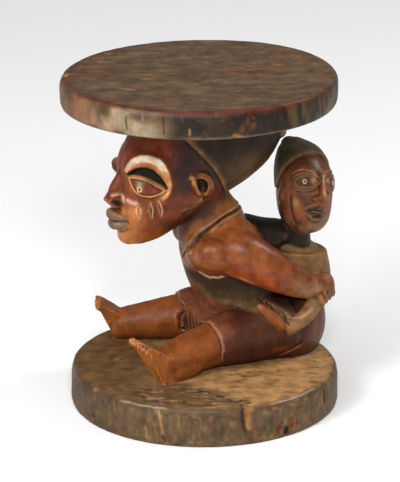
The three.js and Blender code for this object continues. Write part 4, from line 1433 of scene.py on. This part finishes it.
        # Painted shade: the underside of the jaw towards the neck is darkened.
        paint.blend("#2a1209", face * 0.85 * smoothstep(-62.0, -30.0, y) * smoothstep(218.0, 204.0, z))
        paint.blend("#8a4a20", face * 0.6 * bell(z - 190.0, 9.0) * smoothstep(-80.0, -64.0, y) * smoothstep(-30.0, -50.0, y))
        hair = past(z, y, self.hair_line)
        paint.blend("#6d5233", (skin.parts == Part.HAIR) * 0.6 * bell(hair - 2.0, 2.6))
        paint.blend("#6a4e28", (skin.parts == Part.HAIR) * 0.5 * bell(y - 50.0, 36.0) * smoothstep(292.0, 262.0, z))
        collar = self.collar(skin)
        cord = np.abs(collar)
        throat = skin.blurred(self.throat(skin).astype(float), 1)
        neck = skin.blurred((skin.parts == Part.NECK).astype(float), 2)
        # Painted shade: the neck darkens towards the jaw, where the jaw's shadow falls.
        paint.blend("#341a0e", neck * 0.85 * smoothstep(7.0, 20.0, collar) * smoothstep(45.0, 20.0, y))
        paint.blend("#8a6a44", throat * 0.7 * bell(cord - 2.7, 1.0))
        paint.blend("#120a06", throat * 0.92 * bell(cord, 1.5))
        skirt = skin.blurred((skin.parts == Part.SKIRT).astype(float), 2)
        paint.blend("#34180e", skirt * 0.6 * smoothstep(0.0, 0.6, noise(skin.coords, (30, 30, 18), 22)))
        paint.blend("#7a4026", skirt * 0.6 * smoothstep(30.0, 4.0, y) * smoothstep(74.0, 92.0, z))
        paint.blend("#6a4028", skirt * 0.5 * smoothstep(96.0, 124.0, y))
        foot = skin.blurred((skin.parts == Part.FOOT).astype(float), 1)
        paint.blend("#a8642e", foot * 0.8 * smoothstep(0.45, 0.8, -skin.normals[:, 1]))
        cloth = skin.blurred((skin.parts == Part.CLOTH).astype(float), 2)
        paint.blend("#5a4326", cloth * 0.45 * smoothstep(132.0, 112.0, z))
        paint.blend("#6e5534", cloth * 0.5 * bell(past(y, z, self.belt_line) - 2.5, 3.4))
        arm = skin.blurred((skin.parts == Part.ARM).astype(float), 2)
        paint.blend(PATINAS[Part.BREAST].tone, arm * 0.85 * smoothstep(62.0, 22.0, y))
        under = smoothstep(0.35, -0.4, skin.normals[:, 2])
        paint.blend("#8e6a44", arm * 0.7 * smoothstep(76.0, 112.0, y) * under)
        paint.blend("#8e3a16", arm * 0.6 * smoothstep(92.0, 60.0, y) * under)
        red = arm + skin.blurred(np.isin(skin.parts, (int(Part.BREAST), int(Part.TRUNK))).astype(float), 2)
        mottle = noise(skin.coords, (9, 9, 9), 26) + 0.6 * noise(skin.coords, (4, 4, 4), 27)
        paint.blend("#4c1e10", red * 0.5 * smoothstep(0.1, 0.8, mottle))
        paint.blend("#9a5e34", red * 0.4 * smoothstep(0.2, 0.9, -mottle))
        for side in (1.0, -1.0):
            EyeRelief(side).colour(paint)
        colour_marks(paint, self.face_marks() + self.body_marks())


@dataclass
class Child:
    """The child on the mother's back, turned to look to her left."""

    head_height: float = 102.0
    head_width: float = 64.0
    turn: float = math.radians(100)
    lean: float = math.radians(3)
    roll: float = math.radians(8)
    place: Point = (14.0, 122.0, 226.0)
    rows: tuple[tuple[float, ...], ...] = (
        (-0.5, 0.24, 0.0, 0.14), (-0.42, 0.44, -0.2, 0.33), (-0.3, 0.52, -0.36, 0.44),
        (-0.15, 0.53, -0.44, 0.48), (0.0, 0.52, -0.48, 0.49), (0.15, 0.46, -0.53, 0.49),
        (0.28, 0.33, -0.56, 0.44), (0.4, 0.1, -0.56, 0.33), (0.48, -0.26, -0.46, 0.09),
    )

    def pose(self) -> Array:
        """The turn and lean of the head, as a 3 by 3 matrix."""
        axis = unit(np.array((0.94, -0.34, 0.0)))
        cross = np.cross(np.eye(3), axis) * -1.0
        lean = np.eye(3) + math.sin(self.lean) * cross + (1 - math.cos(self.lean)) * cross @ cross
        return lean @ turning(0, 0, self.turn)

    def set_on(self, shape: Callable[[Array], Array], rolled: bool = False) -> Callable[[Array], Array]:
        """Sets a form of the head in its place.

        Args:
            shape: Makes the form about the head's own centre.
            rolled: Whether it rolls with the features.

        Returns:
            A function that makes the form in place.
        """
        matrix = self.pose() @ (turning(0, self.roll, 0) if rolled else np.eye(3))
        return lambda globe: shape(globe) @ matrix.T + np.asarray(self.place)

    def skull(self, globe: Array) -> Array:
        """Carries a unit sphere's points onto the head."""
        heights, fronts, backs, widths = zip(*self.rows)
        pole = globe[:, 2]
        share = (1.0 + pole) / 2.0
        front, back = -along(fronts, share) * self.head_width, -along(backs, share) * self.head_width
        ring = np.maximum(1.0 - np.abs(pole) ** 6, 0.0) ** (1.0 / 6.0)
        turn = np.arctan2(globe[:, 1], globe[:, 0])
        x = ring * along(widths, share) * self.head_width * np.cos(turn)
        y = (front + back) / 2 + ring * (back - front) * np.sin(turn) / 2
        return np.column_stack([x, y, along(heights, share) * self.head_height])

    def build(self, clay: Clay) -> None:
        """Adds the child to the clay."""
        wrap = Limb(
            ((0, 102, 96), (0, 106, 125), (0, 108, 150), (0, 108, 162)), (46, 43, 38, 36), (50, 53, 46, 42), blunt=12
        )
        upward = turning(-0.16, 0, 0) @ np.array((0.0, 0.0, 1.0))
        clay.globe(Part.WRAP, wrap.shape, (64, 40), cut=((0, 108, 156), upward))
        clay.globe(Part.WRAP, Ball((2, 112, 155), (27, 31, 12), (-0.16, 0, 0)).shape)
        # The child's neck and the form behind it take the near-black CHILD_NECK tone, which is painted shade: they lie
        # in shadow.
        neck = Limb(((6, 113, 150), (9, 114, 176), (13, 117, 198)), (21, 17.5, 18), (21, 17.5, 18), blunt=8)
        clay.globe(Part.CHILD_NECK, neck.shape)
        back = Limb(((0, 50, 187), (2, 75, 178), (5, 104, 172)), (22, 22, 22), (14, 14, 15), blunt=6)
        clay.globe(Part.CHILD_NECK, back.shape)
        clay.globe(Part.CHILD_NECK, Ball((-4, 80, 169), (31, 28, 18)).shape)
        thigh = Limb(
            ((28, 136, 112), (52, 121, 103), (68, 99, 91), (70, 80, 82)), (10, 10, 9, 8), (10, 9, 8, 6),
            side=(0, 0, 1), blunt=6,
        )
        clay.globe(Part.CHILD_LEG, thigh.shape, both=True)
        sole = Limb(((69, 80, 83), (66, 66, 98), (60, 50, 112)), (7, 7, 5), (7, 7, 5.5))
        clay.globe(Part.CHILD_SOLE, sole.shape, both=True)
        self.head(clay)

    def head(self, clay: Clay) -> None:
        """Adds the child's head and its features."""
        clay.globe(Part.CHILD_FACE, self.set_on(self.skull), (72, 60))
        clay.globe(Part.CHILD_HAIR, self.set_on(Ball((-5, 27, 41.5), (8, 9, 8)).shape), (24, 16))
        nose = Limb(((0, -31, 27), (0, -34, 13), (0, -39, 0), (0, -37, -5)), (2.5, 3, 4.8, 4.4), (2, 3, 5, 3.8))
        clay.globe(Part.CHILD_FACE, self.set_on(nose.shape, True), (24, 24))
        upper = Limb(
            ((-13, -29, -19), (0, -37.5, -17), (13, -29, -19)), (2, 3.6, 2), (2, 3.6, 2), side=(0, 0, 1)
        )
        lower = Limb(
            ((-12, -28.5, -23), (0, -35.5, -27), (12, -28.5, -23)), (2, 3.8, 2), (2, 3.6, 2), side=(0, 0, 1)
        )
        for lip in (upper, lower):
            clay.globe(Part.CHILD_LIP, self.set_on(lip.shape, True), (24, 24))
        for side in (1.0, -1.0):
            wing = Ball((6 * side, -33.5, -3.5), (4.6, 4.6, 3.8))
            clay.globe(Part.CHILD_FACE, self.set_on(wing.shape, True), (20, 14))
            ear = Limb(
                ((29.5 * side, -5, 4), (31 * side, -3, -7), (27.5 * side, -6, -19)), (2.4, 3.2, 2.4), (3.4, 5, 3.4)
            )
            clay.globe(Part.CHILD_FACE, self.set_on(ear.shape), (20, 20))

    def local(self, points: Array, rolled: bool = False) -> Array:
        """Places about the head's own centre."""
        matrix = self.pose() @ (turning(0, self.roll, 0) if rolled else np.eye(3))
        return (points - np.asarray(self.place)) @ matrix

    def twin(self, points: Sequence[Point]) -> tuple[tuple[float, ...], ...]:
        """The same line on the other side of the face."""
        matrix = self.pose() @ turning(0, self.roll, 0)
        flipped = self.local(np.asarray(points, float), True) * (-1, 1, 1)
        return tuple(map(tuple, flipped @ matrix.T + np.asarray(self.place)))

    def cap(self, coords: Array) -> Array:
        """How far inside the cap's edge places are, in millimetres."""
        _, y, z = self.local(coords).T
        return np.minimum(0.949 * y + 0.316 * z - 5.84, 0.149 * y + 0.989 * z - 0.86)

    def marks(self) -> list[Mark]:
        """The child's brow, cheeks, nose, mouth, wrap, toes and fingers."""
        cheek = ((34.3, 98.2, 226.8), (34.6, 100.7, 207.3), (35.2, 107, 191.4))
        brow = ((31, 104, 250.4), (33.7, 111.5, 252.7), (37, 120.5, 250.4), (38.6, 127, 245.6))
        wing = ((46.7, 119.3, 225.1), (45.8, 122.7, 228.3), (51.5, 125.9, 228.9))
        marks: list[Mark] = []
        for line in (cheek, self.twin(cheek)):
            marks.append(Stroke(line, 1.7, -1.5, "#1b0f0a", 0.8))
        for line in (brow, self.twin(brow)):
            marks.append(Stroke(line, 1.6, 0.7, "#915a3a", 0.6))
        for line in (wing, self.twin(wing)):
            marks.append(Stroke(line, 1.2, 0.4, "#a06a44", 0.6))
        marks += [
            Stroke(((33.2, 132.7, 251.9), (38.2, 133.5, 243.3), (50.3, 129.9, 235), (52.8, 129.8, 226.5)),
                   1.6, 0.3, "#9a6240", 0.6),
            Stroke(((45, 112.5, 208.6), (49, 117.5, 210.5), (53.2, 124.5, 209.4), (51, 132.5, 205.5), (44, 136, 202.5)),
                   1.3, -1.7, "#0d0705", 0.95),
            Stroke(((44.8, 112.3, 211.7), (46.3, 118.8, 214.8), (50.8, 125.7, 213.8), (49.6, 133.3, 208.8)),
                   1.2, 0.5, "#84684c", 0.7),
            Stroke(((44.4, 113.4, 204.5), (48.4, 118.9, 200), (52.4, 125.2, 199.3), (46, 135, 199)),
                   1.2, 0.4, "#7a5e42", 0.7),
            # Painted highlight: a pale spot on the near cheek stands in for the light that the polished cheek catches.
            Patch((36.5, 104.5, 217), (6, 5, 9), 0.0, "#a9845c", 0.6),
            Stroke(((52, 63, 113), (61, 73, 106), (68, 83, 98), (72, 87, 90)), 3.4, 0.0, "#6b4a34", 0.85, True),
            Stroke(((75.1, 84.8, 87.3), (70, 81, 93), (65.7, 80.7, 99), (61, 72, 108)), 1.1, -0.8, "#1a100a", 0.7, True),
            Stroke(((65.7, 83, 98), (74.8, 94.7, 98), (73.8, 106, 102), (72.8, 117.8, 108.1)), 1.4, 0.4, "#a98a66", 0.6, True),
        ]
        for point in ((42.6, 59.5, 113.4), (46.2, 64.8, 110.8), (51.4, 67.6, 109.2)):
            inner = (point[0] + 9, point[1] + 1, point[2] - 3)
            marks.append(Stroke((point, inner), 1.0, -1.2, "#1a0f08", 0.8, True))
        return marks

    def relabel(self, skin: Skin) -> None:
        """Draws the cap's edge."""
        head = np.isin(skin.parts, (int(Part.CHILD_FACE), int(Part.CHILD_HAIR)))
        skin.parts[head & (self.cap(skin.coords) > 0)] = Part.CHILD_HAIR

    def carve(self, skin: Skin) -> None:
        """Cuts the cap's edge, the eyes and every other line of the child."""
        head = skin.blurred(np.isin(skin.parts, (int(Part.CHILD_FACE), int(Part.CHILD_HAIR))).astype(float), 2)
        cap = self.cap(skin.coords)
        skin.push(head * (1.6 * smoothstep(-0.6, 1.0, cap) - 0.5 * bell(cap + 1.6, 1.2)))
        matrix = self.pose() @ turning(0, self.roll, 0)
        for side in (1.0, -1.0):
            ChildEye(side).carve(skin, self.local(skin.coords, True), matrix)
        carve_marks(skin, self.marks())

    def colour(self, paint: Paint) -> None:
        """Darkens and polishes the child, paints the cap's shadow on the side of the face and a highlight along the
        nose's bridge.
        """
        skin = paint.skin
        cap = self.cap(skin.coords)
        paint.blend("#6b5138", (skin.parts == Part.CHILD_HAIR) * 0.5 * bell(cap - 1.4, 1.8))
        face = skin.blurred((skin.parts == Part.CHILD_FACE).astype(float), 2)
        paint.blend("#472417", face * 0.6 * smoothstep(236.0, 262.0, skin.coords[:, 2]))
        paint.blend("#6d5f4c", face * 0.3 * smoothstep(200.0, 188.0, skin.coords[:, 2]))
        # Painted shadow: the face darkens towards the back of the head, where the cap's shadow falls.
        depth = self.local(skin.coords)[:, 1]
        paint.blend("#2e1a10", face * 0.75 * smoothstep(-15.0, 3.0, depth))
        mottle = noise(skin.coords, (7, 7, 7), 29)
        paint.blend("#331a10", face * 0.55 * smoothstep(0.0, 0.6, mottle))
        # Painted highlight: a pale line down the nose's bridge.
        ridge = np.array(((0, -35, 26), (0, -38, 13), (0, -43, 0))) @ (self.pose() @ turning(0, self.roll, 0)).T
        bridge = Stroke(tuple(map(tuple, ridge + np.asarray(self.place))), 1.0, 0.0, "#e0bc9c", 0.5)
        colour_marks(paint, [bridge])
        for side in (1.0, -1.0):
            ChildEye(side).colour(paint, self.local(skin.coords, True))
        colour_marks(paint, self.marks())


@dataclass
class Carving:
    """The whole carving: its forms, its relief, and its patina with painted highlights and painted shade."""

    discs: Discs = field(default_factory=Discs)
    mother: Mother = field(default_factory=Mother)
    child: Child = field(default_factory=Child)

    def build(self) -> Skin:
        """Heaps, fuses and smooths the forms.

        Returns:
            The plain skin.
        """
        clay = Clay()
        for form in (self.discs, self.mother, self.child):
            form.build(clay)
            log.info("%s: %d faces of clay", type(form).__name__, len(clay.mesh.faces))
        skin = Skin(clay)
        skin.relax(3, 0.5)
        return skin

    def near(self, points: Array, centre: Point, radius: float) -> Array:
        """How near places are to a centre, from 0 to 1."""
        return bell(np.linalg.norm(points - np.asarray(centre, float), axis=1), radius)

    def melt(self, skin: Skin) -> None:
        """Smooths the skin where one form grows out of another."""
        spots = (
            (50, 12, 176, 38), (34, 28, 196, 20), (50, 40, 160, 24), (20, -6, 172, 20), (0, 20, 178, 22),
            (30, 70, 200, 16), (42, 130, 122, 9),
        )
        mask = np.zeros(len(skin.coords))
        for x, y, z, radius in spots:
            for side in (1.0, -1.0):
                mask = np.maximum(mask, self.near(skin.coords, (x * side, y, z), radius))
        skin.relax(90, 0.6, mask)

    def fine(self, skin: Skin) -> Array:
        """Tells which points need a finer grain."""
        x, y, z = skin.coords.T
        mask = (y < -20) & (z > 180) & (z < 295)
        mask |= (x > -10) & (x < 66) & (y > 84) & (y < 150) & (z > 186) & (z < 276)
        return mask

    def carve(self, skin: Skin) -> None:
        """Cuts the relief."""
        self.mother.relabel(skin)
        self.child.relabel(skin)
        for form in (self.discs, self.mother, self.child):
            form.carve(skin)

    def colour(self, skin: Skin) -> Paint:
        """Lays the patina, painted highlights and painted shade.

        Returns:
            The painted skin.
        """
        paint = Paint(skin)
        for form in (self.discs, self.mother, self.child):
            form.colour(paint)
        fine = skin.coords - skin.blurred(skin.coords, 4)
        broad = skin.coords - skin.blurred(skin.coords, 24)
        edge = np.sum(fine * skin.normals, axis=1)
        swell = np.sum(broad * skin.normals, axis=1)
        worn = 1.0 - 0.9 * np.isin(skin.parts, (int(Part.SEAT), int(Part.BASE)))
        rubbed = 0.4 * smoothstep(0.03, 0.22, edge) + 0.15 * smoothstep(0.3, 1.4, swell)
        paint.blend("#a36c3c", worn * rubbed, 0.7)
        paint.shade(worn * smoothstep(0.03, 0.25, -edge), 0.4)
        paint.shade(smoothstep(0.2, 1.6, -swell), 0.5)
        return paint

    def finish(self, skin: Skin, paint: Paint, material: bpy.types.Material) -> bpy.types.Object:
        """Thins the skin where it is plain and makes it the stool's visible piece.

        Args:
            skin: The carved surface.
            paint: Its colours.
            material: The wood.

        Returns:
            The finished piece.
        """
        mesh = skin.mesh
        tone = mesh.color_attributes.new("tone", "FLOAT_COLOR", "POINT")
        tone.data.foreach_set("color", np.column_stack([paint.tone, np.ones(len(paint.tone))]).ravel())
        finish = mesh.color_attributes.new("finish", "FLOAT_COLOR", "POINT")
        level = smoothstep(0.85, 0.97, np.abs(skin.normals[:, 2])) * np.isin(skin.parts, (0, 1))
        rows = np.column_stack([paint.gloss, paint.grain, level, np.ones(len(level))])
        finish.data.foreach_set("color", rows.ravel())
        piece = bpy.data.objects.new("stool_carving", mesh)
        bpy.context.scene.collection.objects.link(piece)
        disc = np.isin(skin.parts, (int(Part.SEAT), int(Part.BASE))).astype(float)
        below = disc * smoothstep(0.3, 0.8, -skin.normals[:, 2])
        keep = 0.5 + 0.3 * disc + 0.2 * below - 0.2 * self.fine(skin)
        group = piece.vertex_groups.new(name="plain")
        for share in np.unique(np.round(keep, 2)):
            group.add(np.flatnonzero(np.round(keep, 2) == share).tolist(), float(share), "REPLACE")
        thin = piece.modifiers.new("Thin", "DECIMATE")
        thin.vertex_group = group.name
        thin.vertex_group_factor = THIN_BIAS
        count = sum(len(face.vertices) - 2 for face in mesh.polygons)
        thin.ratio = min(TRIANGLES / count, 1.0)
        thin.use_collapse_triangulate = True
        result = bpy.data.meshes.new_from_object(piece.evaluated_get(bpy.context.evaluated_depsgraph_get()))
        piece.modifiers.clear()
        places = np.empty(len(result.vertices) * 3)
        result.vertices.foreach_get("co", places)
        places = (places.reshape(-1, 3) + (FIGURE_X, 0, 0)) * MM
        result.vertices.foreach_set("co", places.ravel())
        piece.data = result
        result.shade_smooth()
        result.materials.clear()
        result.materials.append(material)
        log.info("%s: %d triangles", piece.name, len(result.polygons))
        return piece


# The wood.


def add(tree: bpy.types.NodeTree, kind: str, links: dict[str | int, object] | None = None, **settings: object) -> bpy.types.Node:
    """Adds a node.

    Args:
        tree: Where it goes.
        kind: Blender's name for it.
        links: For each input, the socket that feeds it or its own value.
        settings: The node's own properties.

    Returns:
        The node.
    """
    node = tree.nodes.new(kind)
    for name, value in settings.items():
        setattr(node, name, value)
    for name, value in (links or {}).items():
        if isinstance(value, bpy.types.NodeSocket):
            tree.links.new(value, node.inputs[name])
        else:
            node.inputs[name].default_value = value
    return node


@dataclass(frozen=True)
class CarvedHardwood:
    """Close-grained hardwood cut with an adze, oiled, and polished and worn by hands."""

    grain_width: float = 1.3  # mm
    grain_length: float = 26.0
    mottle: float = 14.0

    def material(self) -> bpy.types.Material:
        """Makes the wood's node material."""
        wood = bpy.data.materials.new("carved_hardwood")
        wood.use_nodes = True
        tree = wood.node_tree
        tree.nodes.clear()
        per_metre = 1.0 / MM
        place = add(tree, "ShaderNodeTexCoord").outputs["Object"]
        tone = add(tree, "ShaderNodeAttribute", attribute_name="tone").outputs["Color"]
        finish = add(tree, "ShaderNodeAttribute", attribute_name="finish").outputs["Color"]
        parts = add(tree, "ShaderNodeSeparateColor", {"Color": finish}).outputs
        gloss, grain, level = parts[0], parts[1], parts[2]
        fine, length = per_metre / self.grain_width, per_metre / self.grain_length
        upright = add(tree, "ShaderNodeMapping", {"Vector": place, "Scale": (fine, fine, length)})
        lying = add(
            tree, "ShaderNodeMapping",
            {
                "Vector": place, "Rotation": (0, 0, math.radians(70)),
                "Scale": (self.grain_length * MM, 2 * self.grain_width * MM, self.grain_width * MM),
            },
            vector_type="TEXTURE",
        )
        streak_up = add(
            tree, "ShaderNodeTexNoise", {"Vector": upright.outputs[0], "Scale": 1.0, "Detail": 4.0, "Distortion": 0.4}
        ).outputs[0]
        streak_flat = add(
            tree, "ShaderNodeTexNoise", {"Vector": lying.outputs[0], "Scale": 1.0, "Detail": 5.0, "Distortion": 0.9}
        ).outputs[0]
        streak = add(
            tree, "ShaderNodeMix", {"Factor": level, 2: streak_up, 3: streak_flat}, data_type="FLOAT"
        ).outputs[0]
        blotch = add(
            tree, "ShaderNodeTexNoise", {"Vector": place, "Scale": per_metre / self.mottle, "Detail": 4.0, "Roughness": 0.6}
        ).outputs[0]
        streak_dark = add(
            tree, "ShaderNodeMapRange",
            {"Value": streak, "From Min": 0.34, "From Max": 0.62, "To Min": 0.6, "To Max": 1.25},
        ).outputs[0]
        by_grain = add(
            tree, "ShaderNodeMix", {"Factor": grain, 2: 1.0, 3: streak_dark}, data_type="FLOAT"
        ).outputs[0]
        blotch_dark = add(
            tree, "ShaderNodeMapRange", {"Value": blotch, "From Min": 0.3, "From Max": 0.7, "To Min": 0.6, "To Max": 1.4}
        ).outputs[0]
        darker = add(tree, "ShaderNodeMath", {0: by_grain, 1: blotch_dark}, operation="MULTIPLY").outputs[0]
        colour = add(tree, "ShaderNodeVectorMath", {0: tone, "Scale": darker}, operation="SCALE").outputs[0]
        dull = add(
            tree, "ShaderNodeMapRange", {"Value": gloss, "From Min": 0.0, "From Max": 1.0, "To Min": 0.72, "To Max": 0.24}
        ).outputs[0]
        rough = add(
            tree, "ShaderNodeMapRange", {"Value": streak, "From Min": 0.3, "From Max": 0.7, "To Min": 0.1, "To Max": -0.06}
        ).outputs[0]
        rough = add(tree, "ShaderNodeMath", {0: dull, 1: rough}, operation="ADD", use_clamp=True).outputs[0]
        height = add(tree, "ShaderNodeMath", {0: streak, 1: grain}, operation="MULTIPLY").outputs[0]
        bump = add(tree, "ShaderNodeBump", {"Strength": 0.5, "Distance": 0.4 * MM, "Height": height}).outputs[0]
        shader = add(
            tree, "ShaderNodeBsdfPrincipled",
            {"Base Color": colour, "Roughness": rough, "Normal": bump, "IOR": 1.5, "Specular IOR Level": 0.21},
        ).outputs[0]
        add(tree, "ShaderNodeOutputMaterial", {"Surface": shader})
        return wood


# The studio.


@dataclass
class Studio:
    """A pale floor, soft lights and the camera."""

    azimuth: float = math.radians(70)
    pitch: float = math.radians(18.553)
    distance: float = 2.870
    camera_height: float = 1.1447
    aside: float = -0.0044
    lens: float = 207.8

    def build(self) -> None:
        """Makes the floor, the lights, the world and the camera."""
        self.floor()
        self.lights()
        self.camera()

    def camera(self) -> None:
        """Sets the camera at the picture's angle."""
        back = np.array((math.sin(self.azimuth), -math.cos(self.azimuth), 0.0))
        right = np.array((math.cos(self.azimuth), math.sin(self.azimuth), 0.0))
        data = bpy.data.cameras.new("camera")
        data.lens = self.lens
        data.sensor_width = 36.0
        data.clip_end = 50.0
        camera = bpy.data.objects.new("camera", data)
        camera.location = back * self.distance + (0, 0, self.camera_height) + right * self.aside
        camera.rotation_euler = (math.pi / 2 - self.pitch, 0.0, self.azimuth)
        bpy.context.scene.collection.objects.link(camera)
        bpy.context.scene.camera = camera

    def floor(self) -> None:
        """Lays the floor."""
        mesh = bmesh.new()
        bmesh.ops.create_grid(mesh, x_segments=2, y_segments=2, size=14.0)
        data = bpy.data.meshes.new("floor")
        mesh.to_mesh(data)
        mesh.free()
        floor = bpy.data.objects.new("floor", data)
        bpy.context.scene.collection.objects.link(floor)
        paper = bpy.data.materials.new("floor_paper")
        paper.use_nodes = True
        shader = paper.node_tree.nodes["Principled BSDF"]
        shader.inputs["Base Color"].default_value = (0.88, 0.88, 0.88, 1.0)
        shader.inputs["Roughness"].default_value = 0.9
        shader.inputs["Specular IOR Level"].default_value = 0.1
        data.materials.append(paper)

    def lights(self) -> None:
        """Hangs the soft lights."""
        world = bpy.data.worlds.new("studio")
        world.use_nodes = True
        world.node_tree.nodes["Background"].inputs["Color"].default_value = (1, 1, 1, 1)
        world.node_tree.nodes["Background"].inputs["Strength"].default_value = 0.27
        bpy.context.scene.world = world
        bpy.context.scene.view_settings.view_transform = "Standard"
        for name, spot, size, power in (
            ("key", (1.2, -2.2, 1.9), 0.9, 50.0),
            ("fill", (2.05, -0.65, 1.5), 0.4, 30.0),
            ("rim", (0.4, 2.1, 2.2), 0.5, 30.0),
        ):
            data = bpy.data.lights.new(name, "AREA")
            data.size = size
            data.energy = power
            light = bpy.data.objects.new(name, data)
            light.location = spot
            light.rotation_euler = (Vector((0, 0, 0.2)) - Vector(spot)).to_track_quat("-Z", "Y").to_euler()
            bpy.context.scene.collection.objects.link(light)
        data = bpy.data.lights.new("sky", "SUN")
        data.energy = 1.15
        data.angle = math.radians(70)
        sky = bpy.data.objects.new("sky", data)
        sky.rotation_euler = (Vector((0, 0, 0)) - Vector((0.3, -0.6, 1.2))).to_track_quat("-Z", "Y").to_euler()
        bpy.context.scene.collection.objects.link(sky)


def main() -> None:
    """Builds the stool and the studio."""
    logging.basicConfig(level=logging.INFO, format="%(name)s %(message)s")
    carving = Carving()
    skin = carving.build()
    carving.melt(skin)
    skin.refine(carving.fine(skin))
    skin.relax(2, 0.5)
    skin.sort()
    carving.carve(skin)
    log.info("carved: %d points", len(skin.coords))
    paint = carving.colour(skin)
    piece = carving.finish(skin, paint, CarvedHardwood().material())
    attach(piece, "root")
    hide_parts("caryatid_stool")
    Studio().build()


if __name__ == "__main__":
    main()
